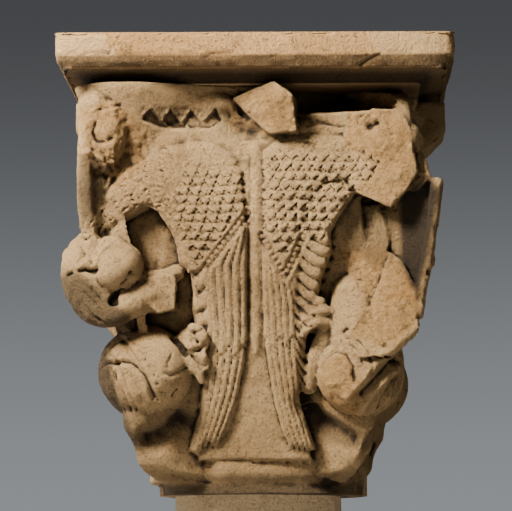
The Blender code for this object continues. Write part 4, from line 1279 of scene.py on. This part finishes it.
def patchAndShadeSlab(tree, place, colour, look, grain, blotches):
    # Pale repairs at the ends of the shown fascia; the mouldings below it darker and speckled, and the foot
    # of the hollow darkened with painted shade
    parts = addNode(tree, "ShaderNodeSeparateXYZ", {0: place})
    across, depth, height = parts.outputs
    ragged = sumOf(tree, across, times(tree, blotches, 0.03), times(tree, height, 0.6), -0.015 - 0.6 * 0.4986)
    start, end = slab["patches"]
    ends = sumOf(tree, spread(tree, ragged, start + 0.002, start - 0.002),
                 spread(tree, ragged, end - 0.002, end + 0.002))
    patch = times(tree, ends, spread(tree, depth, -0.13, -0.14))
    colour = mixColour(tree, times(tree, patch, 0.75), colour, look["patch"])
    foot = slab["top"] - slab["fascia"]
    below = spread(tree, height, foot + 0.001, foot - 0.002, 0.0, 0.85)
    colour = mixColour(tree, below, colour, look["dull"])
    specks = times(tree, spread(tree, grain, 0.55, 0.66), below)
    colour = mixColour(tree, times(tree, specks, 0.8), colour, look["speck"])
    # Painted shade: the lower part of the hollow, facing down under the slab, darkened towards near black
    coved = slab["base"] + slab["hollow"][1]
    shaded = spread(tree, height, coved + 0.001, coved - 0.004, 0.0, 0.85)
    return mixColour(tree, shaded, colour, look["darkShadeAndDirt"])


def dress(piece, node, finish):
    piece.data.materials.append(stoneFinish(finish))
    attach(piece, "root")
    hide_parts(node)


capitalPiece = carveCapital()
slabPiece = cutSlab()
shaftPiece = turnShaft()
dress(capitalPiece, "capital", "carvedStone")
dress(slabPiece, "abacus", "slabStone")
dress(shaftPiece, "column_shaft", "shaftStone")
print("pieces dressed")


# The studio
studio = {
    "floorHalf": 6.0,
    "floorColour": (0.4, 0.4, 0.4, 1.0),
    "top": (0.064, 0.066, 0.071),
    "foot": (0.28, 0.297, 0.31),
    "fill": (0.55, 0.57, 0.6),
    "fillStrength": 0.04,
    "lights": (
        ("key", (-0.7, -0.77, 1.09), 0.32, 94.0, (1.0, 0.92, 0.79)),
        ("fill", (2.4, -2.2, 0.7), 2.2, 1.5, (1.0, 0.96, 0.92)),
        ("rim", (-1.7, 1.5, 0.5), 1.0, 10.0, (0.85, 0.92, 1.0)),
    ),
    "aim": (0.0, 0.0, 0.3),
}


def layFloor():
    bm = bmesh.new()
    bmesh.ops.create_grid(bm, x_segments=1, y_segments=1, size=studio["floorHalf"])
    floor = finishObject("floor", bm)
    material = bpy.data.materials.new("floorPaper")
    material.use_nodes = True
    shader = material.node_tree.nodes["Principled BSDF"]
    shader.inputs["Base Color"].default_value = studio["floorColour"]
    shader.inputs["Roughness"].default_value = 0.9
    floor.data.materials.append(material)


def hangLight(name, where, size, power, colour):
    light = bpy.data.lights.new(name, "AREA")
    light.shape = "SQUARE"
    light.size = size
    light.energy = power
    light.color = colour
    lamp = bpy.data.objects.new(name, light)
    lamp.location = where
    lamp.rotation_euler = (Vector(studio["aim"]) - Vector(where)).to_track_quat("-Z", "Y").to_euler()
    bpy.context.scene.collection.objects.link(lamp)


def fillWorld():
    world = bpy.data.worlds.new("studio")
    world.use_nodes = True
    tree = world.node_tree
    background = tree.nodes["Background"]
    direction = addNode(tree, "ShaderNodeTexCoord").outputs["Generated"]
    upward = addNode(tree, "ShaderNodeSeparateXYZ", {0: direction}).outputs[2]
    backdrop = mixColour(tree, spread(tree, upward, 0.0, 0.19), studio["foot"], studio["top"])
    seen = addNode(tree, "ShaderNodeLightPath").outputs["Is Camera Ray"]
    colour = mixColour(tree, seen, tuple(part * studio["fillStrength"] for part in studio["fill"]), backdrop)
    tree.links.new(colour, background.inputs["Color"])
    bpy.context.scene.world = world


def setCamera():
    lens = bpy.data.cameras.new("camera")
    lens.sensor_fit = "HORIZONTAL"
    lens.sensor_width = 36.0
    lens.lens = view["focal"] / (2 * view["middle"][0]) * lens.sensor_width
    camera = bpy.data.objects.new("camera", lens)
    camera.location = view["place"]
    camera.rotation_euler = view["ahead"].to_track_quat("-Z", "Y").to_euler()
    bpy.context.scene.collection.objects.link(camera)
    bpy.context.scene.camera = camera


layFloor()
for row in studio["lights"]:
    hangLight(*row)
fillWorld()
setCamera()
print("studio set")
